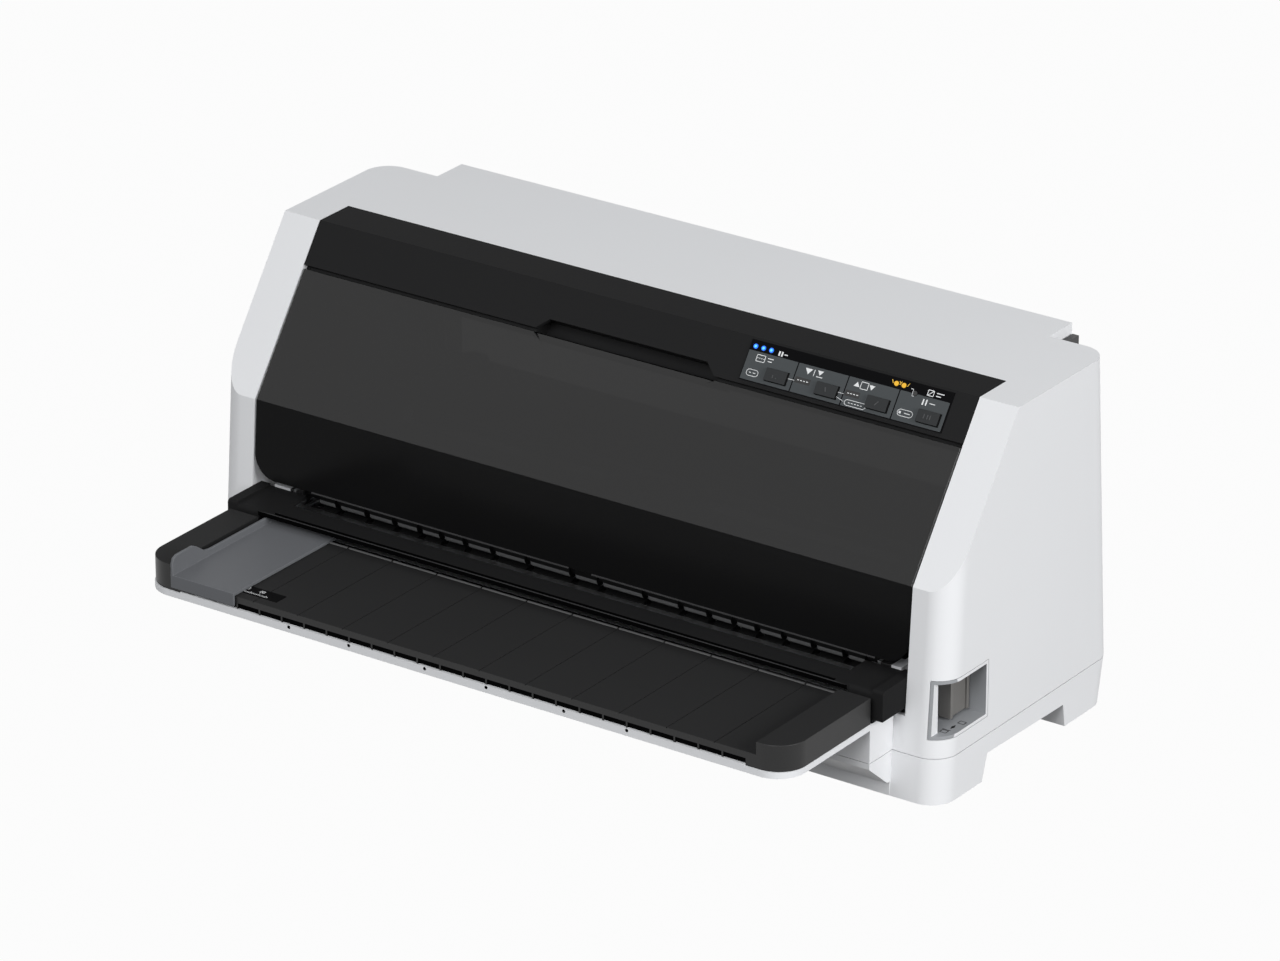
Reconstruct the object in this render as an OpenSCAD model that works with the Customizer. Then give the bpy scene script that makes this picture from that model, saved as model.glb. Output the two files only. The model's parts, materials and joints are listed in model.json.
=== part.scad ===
/* [Case] */
// Width of the case over both cheeks
case_w = 480; // [470:1:500]
// Height of the case from the table to its top
case_h = 206; // [202:1:215]
// Distance from the front crease of the top back to the top of the rear wall
rear_y = 90; // [88:1:96]
// Wall thickness of both case shells
wall = 3; // [2:0.5:4]
// Radius of the upright corners of the case
corner_r = 15; // [10:1:18]
// Height of the joint between the lower and the upper case
seam_z = 27.5; // [26:0.5:29]
// Gap that shows between the lower and the upper case
seam_gap = 0.5; // [0.3:0.1:0.8]
// Distance that the bend of the front lies ahead of the crease
bend_y = 61.6; // [60:0.2:63]
// Height of the bend between the slanted and the upright front
bend_z = 120.2; // [118:0.2:123]
// Forward lean of the front below the bend, in degrees
front_lean = 4.3; // [3.5:0.1:5]
// Backward lean of the rear wall from its top down to the joint, in degrees
rear_lean = 4; // [3:0.1:4.5]
// Lean of the lower case's rear in below the joint, in degrees
skirt_lean = 11.5; // [8:0.5:14]
// Width of each cheek
cheek_w = 24.2; // [22:0.1:25]
// Thickness of the inner wall of each cheek
cheek_t = 2.5; // [1.5:0.5:3]
// Distance from a cheek's inner side in to the side of the hood
hood_in = 14; // [12.8:0.1:16]
// Distance from the crease back to the end of the hood
hood_y = 113; // [112:0.5:120]
// Height of the lower rim of the hood
hood_z = 150; // [140:1:160]

/* [Front box and feet] */
// Distance from a cheek's inner side in to the side of the box below the paper table
box_in = 6.8; // [6:0.1:8]
// Distance from the crease to the front of that box
box_y = 90; // [88:0.5:92]
// Height of the flat top of that box
box_z = 48.2; // [46:0.1:48.6]
// Height of the pan of the lower case above the ground
pan_z = 9.5; // [7:0.5:11]
// Height of the side skirt between the feet
skirt_z = 16.5; // [15:0.5:18]
// Height of a rubber foot
foot_h = 3; // [2:0.5:4]
// Radius of a rubber foot
foot_r = 8; // [6:0.5:9]
// Depth of the pocket that holds a rubber foot
foot_pocket = 1.5; // [1:0.1:1.6]

/* [Control panel] */
// Distance from the crease back to the rear edge of the panel
panel_rear = 26; // [20:0.5:32]
// Length of the slanted part of the panel
panel_s = 26.2; // [25.5:0.1:27]
// Thickness of the panel
panel_t = 2.5; // [2:0.1:3]
// Width of the finger pocket at its mouth
pocket_w = 119; // [90:1:125]
// Amount that each side of the finger pocket slopes in
pocket_in = 8; // [4:0.5:12]
// Height of the finger pocket along the slant
pocket_s = 6.5; // [5:0.5:8]
// Depth of the finger pocket behind the slant
pocket_d = 14; // [8:0.5:16]
// Distance from the right cheek's inner side to the right edge of the key label
label_side = 14.5; // [11:0.1:17]
// Width of one of the four fields of the label
field_w = 31.9; // [30:0.1:33]
// Thickness of the key label
label_t = 0.4; // [0.3:0.1:0.6]
// Width of a key
key_w = 13.4; // [11:0.1:15]
// Length of a key along the slant
key_s = 6.9; // [6:0.1:8]
// Height of a key above the label
key_up = 1.6; // [1:0.1:2.5]
// Gap round a key
key_gap = 0.3; // [0.2:0.05:0.5]
// Travel of a key
key_travel = 1.2; // [0.5:0.1:1.4]
// Radius of an indicator light
lamp_r = 1.3; // [1:0.1:1.6]

/* [Front cover] */
// Thickness of the cover
cover_t = 2.5; // [2:0.1:3]
// Height of the bottom edge of the cover
cover_z = 75.3; // [74.5:0.1:76]
// Gap between the panel and the cover along the slant
cover_gap = 2; // [1:0.1:3]
// Gap between the cover and each cheek
cover_side = 0.8; // [0.5:0.1:1.5]
// Radius of the lower corners of the cover
cover_r = 14; // [8:0.5:16]
// Distance that the cover's pivot lies ahead of the crease
pivot_y = 56.5; // [56.3:0.1:56.8]
// Height of the cover's pivot
pivot_z = 80; // [79.8:0.1:80.5]
// Radius of the cover's pins
pin_r = 2.6; // [2:0.1:2.8]

/* [Paper table] */
// Distance from a cheek's inner side in to the side of the paper table
table_in = 5.2; // [4:0.1:5.8]
// Distance from the crease to the front of the table
table_y = 169.2; // [155:0.1:185]
// Distance from the crease to the back of the side ledges
ledge_y = 92; // [91:0.5:94]
// Height of the top of the side ledges
ledge_z = 66.9; // [64:0.1:68]
// Width of each side ledge
ledge_w = 19.6; // [17:0.1:19.6]
// Height of the sunk plate
plate_z = 59.6; // [59.2:0.1:59.8]
// Distance from the crease to the back edge of the plate
plate_y = 81; // [80.8:0.1:82]
// Height of the underside of the table
table_z = 51.8; // [51:0.1:53]
// Wall thickness of the table
table_t = 2.5; // [2:0.1:3]
// Radius of the front corners of the table
table_r = 17; // [12:0.5:20]
// Distance between two ribs of the plate
rib_pitch = 30; // [28:0.5:31]
// Height of the white lip at the front of the tray
lip_z = 52.6; // [52.2:0.1:53.6]
// Thickness of the floor of the tray
tray_t = 2; // [1.5:0.1:3]
// Distance between two slots of the table's front
slot_pitch = 15.05; // [14.5:0.05:16]
// Height of these slots
slot_h = 3.3; // [2:0.1:3.6]

/* [Edge guide] */
// Gap between the left ledge and the edge guide's wall
guide_side = 1; // [0.6:0.1:3]
// Width of the edge guide
guide_w = 43; // [36:0.5:50]
// Thickness of the guide's plate, wall and lip
guide_t = 1.8; // [1.4:0.1:2.2]
// Gap between the guide and what it slides on
guide_gap = 0.3; // [0.2:0.05:0.5]
// Height of the long wall above the plate of the table
guide_h = 5.9; // [4:0.1:8]
// Height of the finger grip at the front of the wall
grip_h = 13; // [10:0.5:15]
// Length of the finger grip
grip_l = 18; // [12:1:26]
// Height of the lip's lower edge
guide_lip_z = 54.2; // [54:0.1:55]
// Distance from the crease to the back edge of the guide
guide_y = 69.5; // [66:0.5:72]

/* [Paper path] */
// Height of the top of the front paper guide
beam_z = 68.5; // [68:0.1:69]
// Distance from the crease to the front of the paper guide
beam_y = 88.9; // [88:0.1:89.5]
// Distance from the crease to the back of the beam
beam_back = 72; // [70:0.5:76]
// Thickness of the beam
beam_t = 2.5; // [2:0.1:3.5]
// Width of each end block
block_w = 15.3; // [14:0.1:15.5]
// Height of the top of the outer arms
arm_z = 69.8; // [69.2:0.1:70]
// Radius of the rubber of the feed rollers
roller_r = 4.8; // [4:0.1:5]
// Radius of the shafts of the feed rollers
roller_shaft_r = 2.5; // [2:0.1:3]
// Distance of the front rollers ahead of the crease
front_roller_y = 46.3; // [46:0.1:46.8]
// Gap between the upper and the lower rollers
nip = 0.5; // [0.4:0.05:0.7]
// Width of the platen bar
platen_w = 14; // [10:0.5:15]
// Height of the platen bar
platen_h = 9.5; // [7:0.5:11]
// Distance of the printing line ahead of the crease
print_y = 18; // [17:0.1:19]
// Gap between the platen and the print head
head_gap = 2.2; // [1.6:0.1:2.4]

/* [Frame and drive] */
// Distance from a cheek's inner side in to the side frame
frame_gap = 24.1; // [23.9:0.1:24.8]
// Thickness of the side frames
frame_t = 2; // [1.5:0.1:2]
// Height of the side frames
frame_top = 112; // [110:1:116]
// Thickness of the steel base plate
base_t = 1.5; // [1:0.1:2]
// Radius of the main guide shaft
guide_shaft_r = 6; // [5:0.1:6.5]
// Radius of the front rail
rail_r = 4; // [3:0.1:4.2]
// Radial play between a shaft and its bore
shaft_play = 0.06; // [0.03:0.01:0.09]
// Pitch of the gear teeth, as module
gear_m = 1; // [0.98:0.01:1.01]
// Thickness of the gears
gear_w = 5.5; // [4:0.5:6]
// Width of the carriage
carriage_w = 56; // [44:1:60]
// Radius of the belt pulleys
pulley_r = 8; // [6:0.1:9]
// Thickness of the carriage belt
belt_t = 1.2; // [0.8:0.1:1.6]
// Height of the carriage belt
belt_h = 6; // [4:0.5:7]
// Radius of the carriage motor
carriage_motor_r = 15; // [12:0.5:15]
// Radius of the feed motor
feed_motor_r = 16; // [13:0.5:17]

/* [Ribbon] */
// Gap between the ribbon cartridge and each side frame
ribbon_side = 3.7; // [2.7:0.1:5.5]
// Height of the underside of the cartridge
ribbon_z = 96; // [95:0.5:98]
// Height of the cartridge
ribbon_h = 19; // [16:0.5:20]
// Width of the ribbon band
band_w = 12; // [8:0.5:12.7]
// Radius of the ribbon knob
knob_r = 10; // [7:0.5:12]

/* [Release lever] */
// Lower edge of the lever's recess
recess_z0 = 38; // [36:0.5:40]
// Upper edge of the lever's recess
recess_z1 = 71.4; // [70:0.1:73]
// Distance from the crease to the back edge of the recess
recess_y = 24.3; // [20:0.1:26]
// Distance from the side of the case to the recess's edge on the front
recess_side = 10.5; // [9:0.1:11]
// Thickness of the walls of the recess
recess_t = 1.8; // [1.4:0.1:2.2]
// Thickness of the lever
lever_t = 6.4; // [5:0.1:6.6]
// Height of the lever's pivot
lever_z = 110; // [106:0.5:114]
// Length of the lever's grip from front to back
lever_grip = 18; // [14:0.5:19]

/* [Tractors] */
// Width of a tractor
tractor_w = 18; // [14:0.5:22]
// Distance of each tractor from the middle of the paper
tractor_x = 130; // [100:1:150]
// Radius of the tractor drive shaft
drive_shaft_r = 3.5; // [3:0.1:4]
// Radius of the tractor support shaft
support_shaft_r = 3; // [2.5:0.1:3.2]

/* [Hidden] */
$fn = 48;
BIG = 400;
ledge = 4;

// The origin is under the middle of the whole footprint; the crease of the top lies behind it.
front_reach = table_y + guide_t;
crease_y = (front_reach - hood_y) / 2;
half_w = case_w / 2;

// Half widths, each from the one outside it
cheek_in = half_w - cheek_w;
hood_x = cheek_in - hood_in;
box_x = cheek_in - box_in;
table_x = cheek_in - table_in;
plate_x = table_x - ledge_w;
guide_x = plate_x - guide_side;
block_x = box_x - block_w;
frame_in = cheek_in - frame_gap;
ribbon_x = frame_in - ribbon_side;
recess_x = half_w - recess_side;
label_x = cheek_in - label_side - 4 * field_w;

// Slanted front, as an angle, and the play that a rigid fit gets
slant = atan2(case_h - bend_z, bend_y);
fit = 0.3;

// Side outline of the case, counter-clockwise in y and z, down to a given height
function front_y(z) = -bend_y - (bend_z - z) * tan(front_lean);
function rear_at(z) = rear_y + (case_h - z) * tan(rear_lean);
function outline(low) = [
    [rear_at(low), low], [rear_y, case_h], [0, case_h], [-bend_y, bend_z], [front_y(low), low],
];
// Moves every side of a counter-clockwise convex outline inwards
function unit(v) = v / norm(v);
function turn(v) = [-v.y, v.x];
function inset(points, d) = [
    for (i = [0:len(points) - 1])
        let (
            n = len(points),
            into = turn(unit(points[i] - points[(i + n - 1) % n])),
            out = turn(unit(points[(i + 1) % n] - points[i]))
        )
        points[i] + (into + out) * d / (1 + into * out)
];
// A point on the slanted front, s down from the crease and d behind the surface
function slant_point(s, d) = [
    -s * cos(slant) + d * sin(slant), case_h - s * sin(slant) - d * cos(slant),
];
function lower_front(z, d) = [front_y(z) + d / cos(front_lean), z];

// Spans along one axis: from a to b beyond a place, and of width w about a place
function span(at, a, b) = [at + a, at + b];
function mid(at, w) = [at - w / 2, at + w / 2];

module at_crease() translate([0, crease_y, 0]) children();
module box(x, y, z) translate([x[0], y[0], z[0]]) cube([x[1] - x[0], y[1] - y[0], z[1] - z[0]]);
module along_x(x) translate([x[0], 0, 0]) rotate([90, 0, 90]) linear_extrude(x[1] - x[0]) children();
module rod_x(r, x, at) translate([x[0], at[0], at[1]]) rotate([0, 90, 0]) cylinder(r = r, h = x[1] - x[0]);
module rod_z(r, z, at) translate([at[0], at[1], z[0]]) cylinder(r = r, h = z[1] - z[0]);
module rod_y(r, y, at) translate([at[0], y[0], at[1]]) rotate([-90, 0, 0]) cylinder(r = r, h = y[1] - y[0]);
module both_sides() {
    children();
    mirror([1, 0, 0]) children();
}
// Local x is across, local y runs up the slope and local z points out of the slanted front
module on_slant() translate([0, 0, case_h]) rotate([slant, 0, 0]) children();
module rounded(x, y, r) {
    translate([x[0] + r, y[0]]) square([x[1] - x[0] - 2 * r, y[1] - y[0]]);
    translate([x[0], y[0] + r]) square([x[1] - x[0], y[1] - y[0] - 2 * r]);
    for (cx = [x[0] + r, x[1] - r], cy = [y[0] + r, y[1] - r]) translate([cx, cy]) circle(r);
}
// Body whose round corners lean with the front and with the rear, drawn in by d; the rear
// plane passes through the rear wall at height z
module leaned_body(d, z, lean) intersection() {
    translate([0, front_y(0), 0]) rotate([-front_lean, 0, 0]) translate([0, 0, -corner_r])
        linear_extrude(BIG) rounded([-half_w + d, half_w - d], [d, BIG], corner_r - d);
    translate([0, rear_at(z), z]) rotate([lean, 0, 0]) translate([0, 0, -BIG / 2])
        linear_extrude(BIG) rounded([-half_w + d, half_w - d], [-BIG, -d], corner_r - d);
}
// Outer form of the case above a height, drawn in by d all round
module case_form(low, d) intersection() {
    along_x([-half_w, half_w]) polygon(inset(outline(low - d), d));
    leaned_body(d, case_h, rear_lean);
}
// On the rear wall at x and z, with local z pointing into the case
module on_rear(spot) translate([spot[0], rear_at(spot[1]), spot[1]]) rotate([90 + rear_lean, 0, 0]) children();

/* Case shells */
pan_floor = pan_z + wall - 0.5;
box_low_z = 24;
side_x = box_x - wall;
foot_low = foot_h - foot_pocket;
foot_front = -29;
foot_back = 53.3;
foot_rise = 5;
seam_rear = rear_at(seam_z);
foot_spots = [
    for (x = [-1, 1] * (half_w - wall - foot_r - 5), y = [front_y(0) + 20, foot_back + 17]) [x, y],
];
// Side skirt with its two feet
skirt = [
    [front_y(0), seam_z], [front_y(0), foot_low], [foot_front, foot_low],
    [foot_front + foot_rise, skirt_z], [foot_back - 2, skirt_z - 1.5],
    [foot_back, foot_low], [seam_rear - 10.5, foot_low], [seam_rear - 3, foot_low + 3],
    [seam_rear + 1, seam_z],
];
box_profile = [
    [-box_y, seam_z], [-box_y, box_low_z], [front_y(0) - 2, pan_z], [seam_rear - 6, pan_z],
    [seam_rear + 1, seam_z],
];
lever_x0 = cheek_in + 3.4;
opening_low = 55.5;
opening_high = 146;
opening_x = hood_x - 0.6;
supply_x = span(-half_w, 95, 205);
board_x = [supply_x[1] + 15, frame_in - 41.7];
inlet_x = supply_x[0] + 35;
inlet_size = [28, 20];
inlet_z = 31;
board_w = board_x[1] - board_x[0];
socket_spots = [[board_x[0] + 0.47 * board_w, 46], [board_x[0] + 0.81 * board_w, 14]];
socket_z = [31, 43];
rear_screws = [for (x = [-1, 1] * (half_w - corner_r), z = [40, 140]) [x, z]];
lower_cut = seam_z - seam_gap / 2;
upper_cut = seam_z + seam_gap / 2;

module lower_case() color("whitesmoke") at_crease() {
    difference() {
        intersection() {
            union() {
                difference() {
                    along_x([-half_w, half_w]) polygon(skirt);
                    box([-side_x, side_x], [-BIG, BIG], [-1, seam_z + 1]);
                }
                along_x([-box_x, box_x]) polygon(box_profile);
            }
            union() {
                leaned_body(0, seam_z, -skirt_lean);
                box([-box_x, box_x], [-box_y, 0], [0, BIG]);
            }
            box([-BIG, BIG], [-BIG, BIG], [0, lower_cut]);
        }
        // Inside of the pan
        along_x([-side_x, side_x]) polygon([
            [-box_y + wall, BIG], [-box_y + wall, box_low_z + wall / 2],
            [front_y(0) + wall, pan_floor], [seam_rear - 2 * wall - 2, pan_floor],
            [seam_rear - wall - 0.5, seam_z - 3], [seam_rear - wall - 0.5, BIG],
        ]);
        // Inside of the side skirts and of the four feet
        both_sides()
            box([side_x - 1, half_w - wall], [front_y(0) + corner_r, seam_rear - corner_r - 4],
                [skirt_z + wall, BIG]);
        for (at = foot_spots) rod_z(foot_r + 0.1, [-1, foot_h], at);
        for (spot = frame_screw_spots) rod_z(screw_r + 0.1, [0, BIG], spot);
    }
}

module upper_case() color("white") at_crease() {
    difference() {
        union() {
            difference() {
                case_form(upper_cut, 0);
                case_form(upper_cut - 10, wall);
            }
            // Inner walls of the cheeks
            both_sides() intersection() {
                case_form(upper_cut, 1);
                box([cheek_in, cheek_in + cheek_t], [front_y(0), BIG], [upper_cut, BIG]);
            }
            // Front box that carries the paper table
            difference() {
                box([-box_x, box_x], [-box_y, front_y(0) + wall], [upper_cut, box_z]);
                box([-side_x, side_x], [-box_y + wall, front_y(0) + 2 * wall], [0, box_z - wall]);
            }
            // Hood over the back
            difference() {
                along_x([-hood_x, hood_x]) polygon([
                    [rear_at(hood_z) - 1, hood_z], [hood_y, hood_z], [hood_y, case_h], [rear_y - 1, case_h],
                ]);
                box([-hood_x + wall, hood_x - wall], [0, hood_y - wall], [0, case_h - wall]);
            }
            // Pin that carries the release lever
            rod_x(lever_pin_r, [cheek_in + 1, lever_x[1] + 2], [-lever_y, lever_z]);
            // Ledge below the rear edge of the panel
            box([-cheek_in - 1, cheek_in + 1], span(panel_rear, -ledge, 1), span(case_h - panel_t, -2, 0));
        }
        // Opening between the cheeks, down to the front box
        box([-cheek_in, cheek_in], [-BIG, panel_rear - ledge], [box_z, BIG]);
        box([-cheek_in, cheek_in], [-BIG, panel_rear], [case_h - panel_t, BIG]);
        box([-side_x, side_x], [front_y(0) - 2, front_y(0) + 2 * wall], [0, box_z - wall]);
        // Paper entry at the back, under the hood
        box([-opening_x, opening_x], [0, BIG], [opening_low, opening_high]);
        box([-hood_x + wall, hood_x - wall], [rear_y - wall - 1, hood_y - wall], [opening_low, case_h - wall]);
        both_sides() box([opening_x - 1, drive_end + 2 * fit], [rear_y - wall - 1, BIG],
            mid(drive_at[1], 2 * (tongue_r + fit)));
        // Recess of the release lever
        box([recess_x, BIG], [-BIG, -recess_y], [recess_z0, recess_z1]);
        // Mains inlet, sockets and screw holes
        box(mid(inlet_x, inlet_size.x + fit), [0, BIG], span(inlet_z, -fit / 2, inlet_size.y + fit / 2));
        for (s = socket_spots) box(mid(s[0], s[1] + fit), [0, BIG], socket_z + [-fit, fit] / 2);
        for (s = rear_screws) on_rear(s) translate([0, 0, -wall])
            cylinder(r = screw_r + 0.1, h = 3 * wall);
    }
}

module rubber_feet() color("dimgray") at_crease()
    for (at = foot_spots) rod_z(foot_r, [0, foot_h], at);

/* Control panel and its keys */
panel_x = cheek_in - 0.4;
sink = 0.5;
seal_d = sink + cover_t + 0.7;
panel_section = [
    [panel_rear - 0.2, case_h - panel_t], [panel_rear - 0.2, case_h], [0, case_h],
    slant_point(panel_s, 0), slant_point(panel_s, panel_t), inset(outline(0), panel_t)[2],
];
key_at = 17.9;
key_inset = 10;
function key_x(i) = label_x + field_w * (i + 1) - key_inset;
label_end = label_x + 4 * field_w;
label_span = [1.4, 24];
blue_lamps = [for (i = [0:2]) [label_x + 3.4 + 5 * i, 4.9]];
amber_lamps = [[label_x + 92.3, 4.6], [label_x + 97, 4.6]];
pause_lamp = [label_x + 105, 7.2];
lamps = concat(blue_lamps, amber_lamps, [pause_lamp]);
board_d = 10;
board_t = 1.6;
switch_h = 2;
flange = 1.2;
post_spots = [for (x = [label_x - 5.5, label_end + 5.5], s = [7, 22]) [x, s]];
pocket_wall = 1.5;
seal_s = panel_s + 4.3;
seal_x = cheek_in - 3;

// Trapezoid on the slant, from s0 with half width x0 down to s1 with half width x1
module slant_trapezoid(s0, x0, s1, x1)
    polygon([[-x0, -s0], [x0, -s0], [x1, -s1], [-x1, -s1]]);

module control_panel() color([0.17, 0.17, 0.17]) at_crease() {
    difference() {
        along_x([-panel_x, panel_x]) polygon(panel_section);
        on_slant() {
            translate([0, 0, -panel_t - 5]) linear_extrude(BIG)
                slant_trapezoid(panel_s - pocket_s, pocket_w / 2 - pocket_in, panel_s + 1, pocket_w / 2);
            for (i = [0:3]) box(mid(key_x(i), key_w + 2 * key_gap),
                mid(-key_at, key_s + 2 * key_gap), [-panel_t - 1, 1]);
            for (at = lamps) rod_z(lamp_r + 0.1, [-panel_t - 1, 1], [at.x, -at.y]);
        }
    }
    // Shell of the finger pocket, and the lip that closes the gap behind the cover's top edge
    on_slant() difference() {
        union() {
            box([-1, 1] * (pocket_w / 2 + pocket_wall), [-seal_s, -panel_s + pocket_s + pocket_wall + 0.5],
                [-pocket_d - pocket_wall, -panel_t]);
            box([-1, 1] * seal_x, [-seal_s, -panel_s + pocket_wall], [-seal_d - pocket_wall, -panel_t]);
        }
        box([-1, 1] * pocket_w / 2, [-seal_s + pocket_wall, -panel_s + pocket_s + 0.5], [-pocket_d, 1]);
        box([-BIG, BIG], [-BIG, -panel_s], [-seal_d, 1]);
    }
    on_slant() for (at = post_spots) rod_z(2.5, [-board_d, -panel_t], [at.x, -at.y]);
}

module key_label() color([0.35, 0.36, 0.38]) at_crease() on_slant() difference() {
    box([label_x, label_end], [-label_span[1], -label_span[0]], [0, label_t]);
    for (i = [0:3]) box(mid(key_x(i), key_w + 2 * key_gap),
        mid(-key_at, key_s + 2 * key_gap), [-1, 1]);
    for (at = lamps) rod_z(lamp_r + 0.1, [-1, 1], [at.x, -at.y]);
}

module key(i) color([0.24, 0.25, 0.26]) at_crease() on_slant() translate([key_x(i), -key_at, 0]) {
    box([-0.5, 0.5] * key_w, [-0.5, 0.5] * key_s, [-panel_t - flange, label_t + key_up]);
    box([-0.5, 0.5] * (key_w + 2), [-0.5, 0.5] * (key_s + 2), [-panel_t - flange, -panel_t]);
    rod_z(2, [-board_d + switch_h + key_travel + 0.1, -panel_t], [0, 0]);
}
module font_key() key(0);
module feed_key() key(1);
module load_key() key(2);
module pause_key() key(3);

module indicator_lights() at_crease() on_slant() {
    color("dodgerblue") for (at = blue_lamps) rod_z(lamp_r, [-board_d, label_t + 0.3], [at.x, -at.y]);
    color("gold") for (at = amber_lamps) rod_z(lamp_r, [-board_d, label_t + 0.3], [at.x, -at.y]);
    color("orange") rod_z(lamp_r, [-board_d, label_t + 0.3], [pause_lamp.x, -pause_lamp.y]);
}

module panel_board() color("darkgreen") at_crease() on_slant() {
    box([label_x - 9, label_end + 9], [-panel_s + 1.5, -2], [-board_d - board_t, -board_d]);
    for (i = [0:3]) box(span(key_x(i), -3, 3), span(-key_at, -3, 3), [-board_d, -board_d + switch_h]);
}

/* Front cover and its hinge */
pivot = [-pivot_y, pivot_z];
cover_x = cheek_in - cover_side;
cover_top = panel_s + cover_gap;
cover_section = [
    slant_point(cover_top, sink), inset(outline(0), sink)[3], lower_front(cover_z, sink),
    lower_front(cover_z, sink + cover_t), inset(outline(0), sink + cover_t)[3],
    slant_point(cover_top, sink + cover_t),
];
scoop_s = 5;
scoop_d = 1.7;
bearing_x = [frame_in + frame_t, cheek_in - 9.1];
bearing_r = 4.5;
ear_x = [bearing_x[1] + 0.6, bearing_x[1] + 3];
cover_reach = norm(lower_front(cover_z, sink) - pivot);
shelf_z = 69.8;
trim_t = 2;
trim_gap = 0.8;

module front_cover() color([0.2, 0.2, 0.2, 0.9]) at_crease() {
    difference() {
        intersection() {
            along_x([-cover_x, cover_x]) polygon(cover_section);
            translate([0, BIG, 0]) rotate([90, 0, 0]) linear_extrude(2 * BIG)
                rounded([-cover_x, cover_x], [cover_z, BIG], cover_r);
        }
        // Slanted finger scoop in the top edge
        on_slant() intersection() {
            translate([0, 0, -BIG / 2]) linear_extrude(BIG)
                slant_trapezoid(cover_top - 0.2, pocket_w / 2, cover_top + scoop_s, pocket_w / 2 - pocket_in);
            translate([-BIG / 2, -cover_top - scoop_s, -sink]) rotate([-atan2(scoop_d, scoop_s), 0, 0])
                cube([BIG, 2 * scoop_s, BIG]);
        }
    }
    both_sides() {
        // Ear and pin
        along_x(ear_x) {
            translate([front_y(pivot_z) + sink + 1, pivot_z - 1.5]) square([cover_t + 4, 6]);
            translate(pivot) circle(bearing_r);
        }
        rod_x(pin_r, [bearing_x[0] + 2.8, ear_x[1]], pivot);
        // Catch behind the upper corner
        on_slant() box([cover_x - 18, cover_x - 6], [-cover_top - 14, -cover_top - 3],
            [-sink - cover_t - 1.2, -sink - cover_t + 0.2]);
    }
}

module hinge_bearings() color("gainsboro") at_crease() both_sides() difference() {
    union() {
        rod_x(bearing_r, bearing_x, pivot);
        box(bearing_x, [-pivot_y, -pivot_y + cover_reach + 3.5], span(pivot_z, -2.5, 2.5));
        box(bearing_x, span(-pivot_y + cover_reach, 0.5, 3.5), [shelf_z - 3.2, pivot_z]);
        box(bearing_x, [-pivot_y - 0.8, -pivot_y + cover_reach + 3.5], [shelf_z - 3.2, shelf_z]);
    }
    rod_x(pin_r + shaft_play, [bearing_x[0] + 2, BIG], pivot);
}

module side_trims() color([0.1, 0.1, 0.1]) at_crease() both_sides() difference() {
    along_x([cheek_in - 0.2 - trim_t, cheek_in - 0.2]) polygon([
        [panel_rear - ledge - 0.5, case_h - panel_t], inset(outline(0), panel_t)[2],
        slant_point(panel_s, panel_t), slant_point(panel_s, cover_t + sink + trim_gap),
        inset(outline(0), cover_t + sink + trim_gap)[3], lower_front(arm_z + 2, cover_t + sink + trim_gap),
        [panel_rear - ledge - 0.5, arm_z + 2],
    ]);
    rod_x(cover_reach + 1.5, [0, BIG], pivot);
    on_slant() box([cover_x - 20, BIG], [-cover_top - 16, -cover_top], [-sink - cover_t - 2.4, 0]);
}

/* Paper table, its tray and the edge guide */
tray_y = table_y + 0.8;
tray_wall = 2.5;
lip_x = plate_x - 6.4;
rib_gap = 1.2;
rib_h = 0.6;
rib_w = 1;
rib_y = 84.6;
groove = 0.5;
groove_xs = [for (x = [-5.5:5.5]) x * rib_pitch];
slot_count = floor(2 * lip_x / slot_pitch);
slot_web = 1.1;
slot_d = 1;
dot_xs = [for (s = [-1, 1], x = [20.1, 70.3, 110.5]) s * x];

// Plan of the table between two places in y, drawn in by d, with round front corners
module table_plan(front, back, d) intersection() {
    rounded([-table_x + d, table_x - d], [-front + d, BIG], table_r - d);
    translate([-BIG, -BIG]) square([2 * BIG, BIG - back - d]);
}

module paper_table() color([0.15, 0.15, 0.15]) at_crease() difference() {
    union() {
        translate([0, 0, table_z]) linear_extrude(ledge_z - table_z) table_plan(table_y, ledge_y, 0);
        box([-plate_x, plate_x], [-ledge_y - 1, -plate_y], [plate_z - table_t, plate_z]);
        // Broken rib along the back of the plate
        for (x = concat([groove_xs[0] - rib_pitch], groove_xs))
            box([max(x + rib_gap / 2, -plate_x), min(x + rib_pitch - rib_gap / 2, plate_x)],
                mid(-rib_y, rib_w), span(plate_z, -1, rib_h));
    }
    // Sunk part above the plate
    difference() {
        box([-plate_x, plate_x], [-BIG, -ledge_y + 1], [plate_z, BIG]);
        box([-plate_x, plate_x], [-rib_y - rib_w / 2, 0], [0, plate_z + rib_h]);
    }
    // Hollow below
    translate([0, 0, -BIG]) linear_extrude(BIG + plate_z - table_t) table_plan(table_y, ledge_y, table_t);
    both_sides() box([plate_x + table_t, table_x - table_t], [-table_y + table_r, -ledge_y - table_t],
        [0, ledge_z - table_t]);
    // Front edge above the white lip
    box([-lip_x, lip_x], [-BIG, -table_y + table_t + 1], [0, lip_z]);
    for (i = [0:slot_count - 1])
        box(span(lip_x - i * slot_pitch, slot_web - slot_pitch, 0), [-BIG, -table_y + slot_d],
            [0, lip_z + slot_h]);
    // Fine grooves from front to back
    for (x = groove_xs) box(mid(x, groove), [-BIG, -rib_y - rib_w], [plate_z - groove, BIG]);
}

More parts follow.
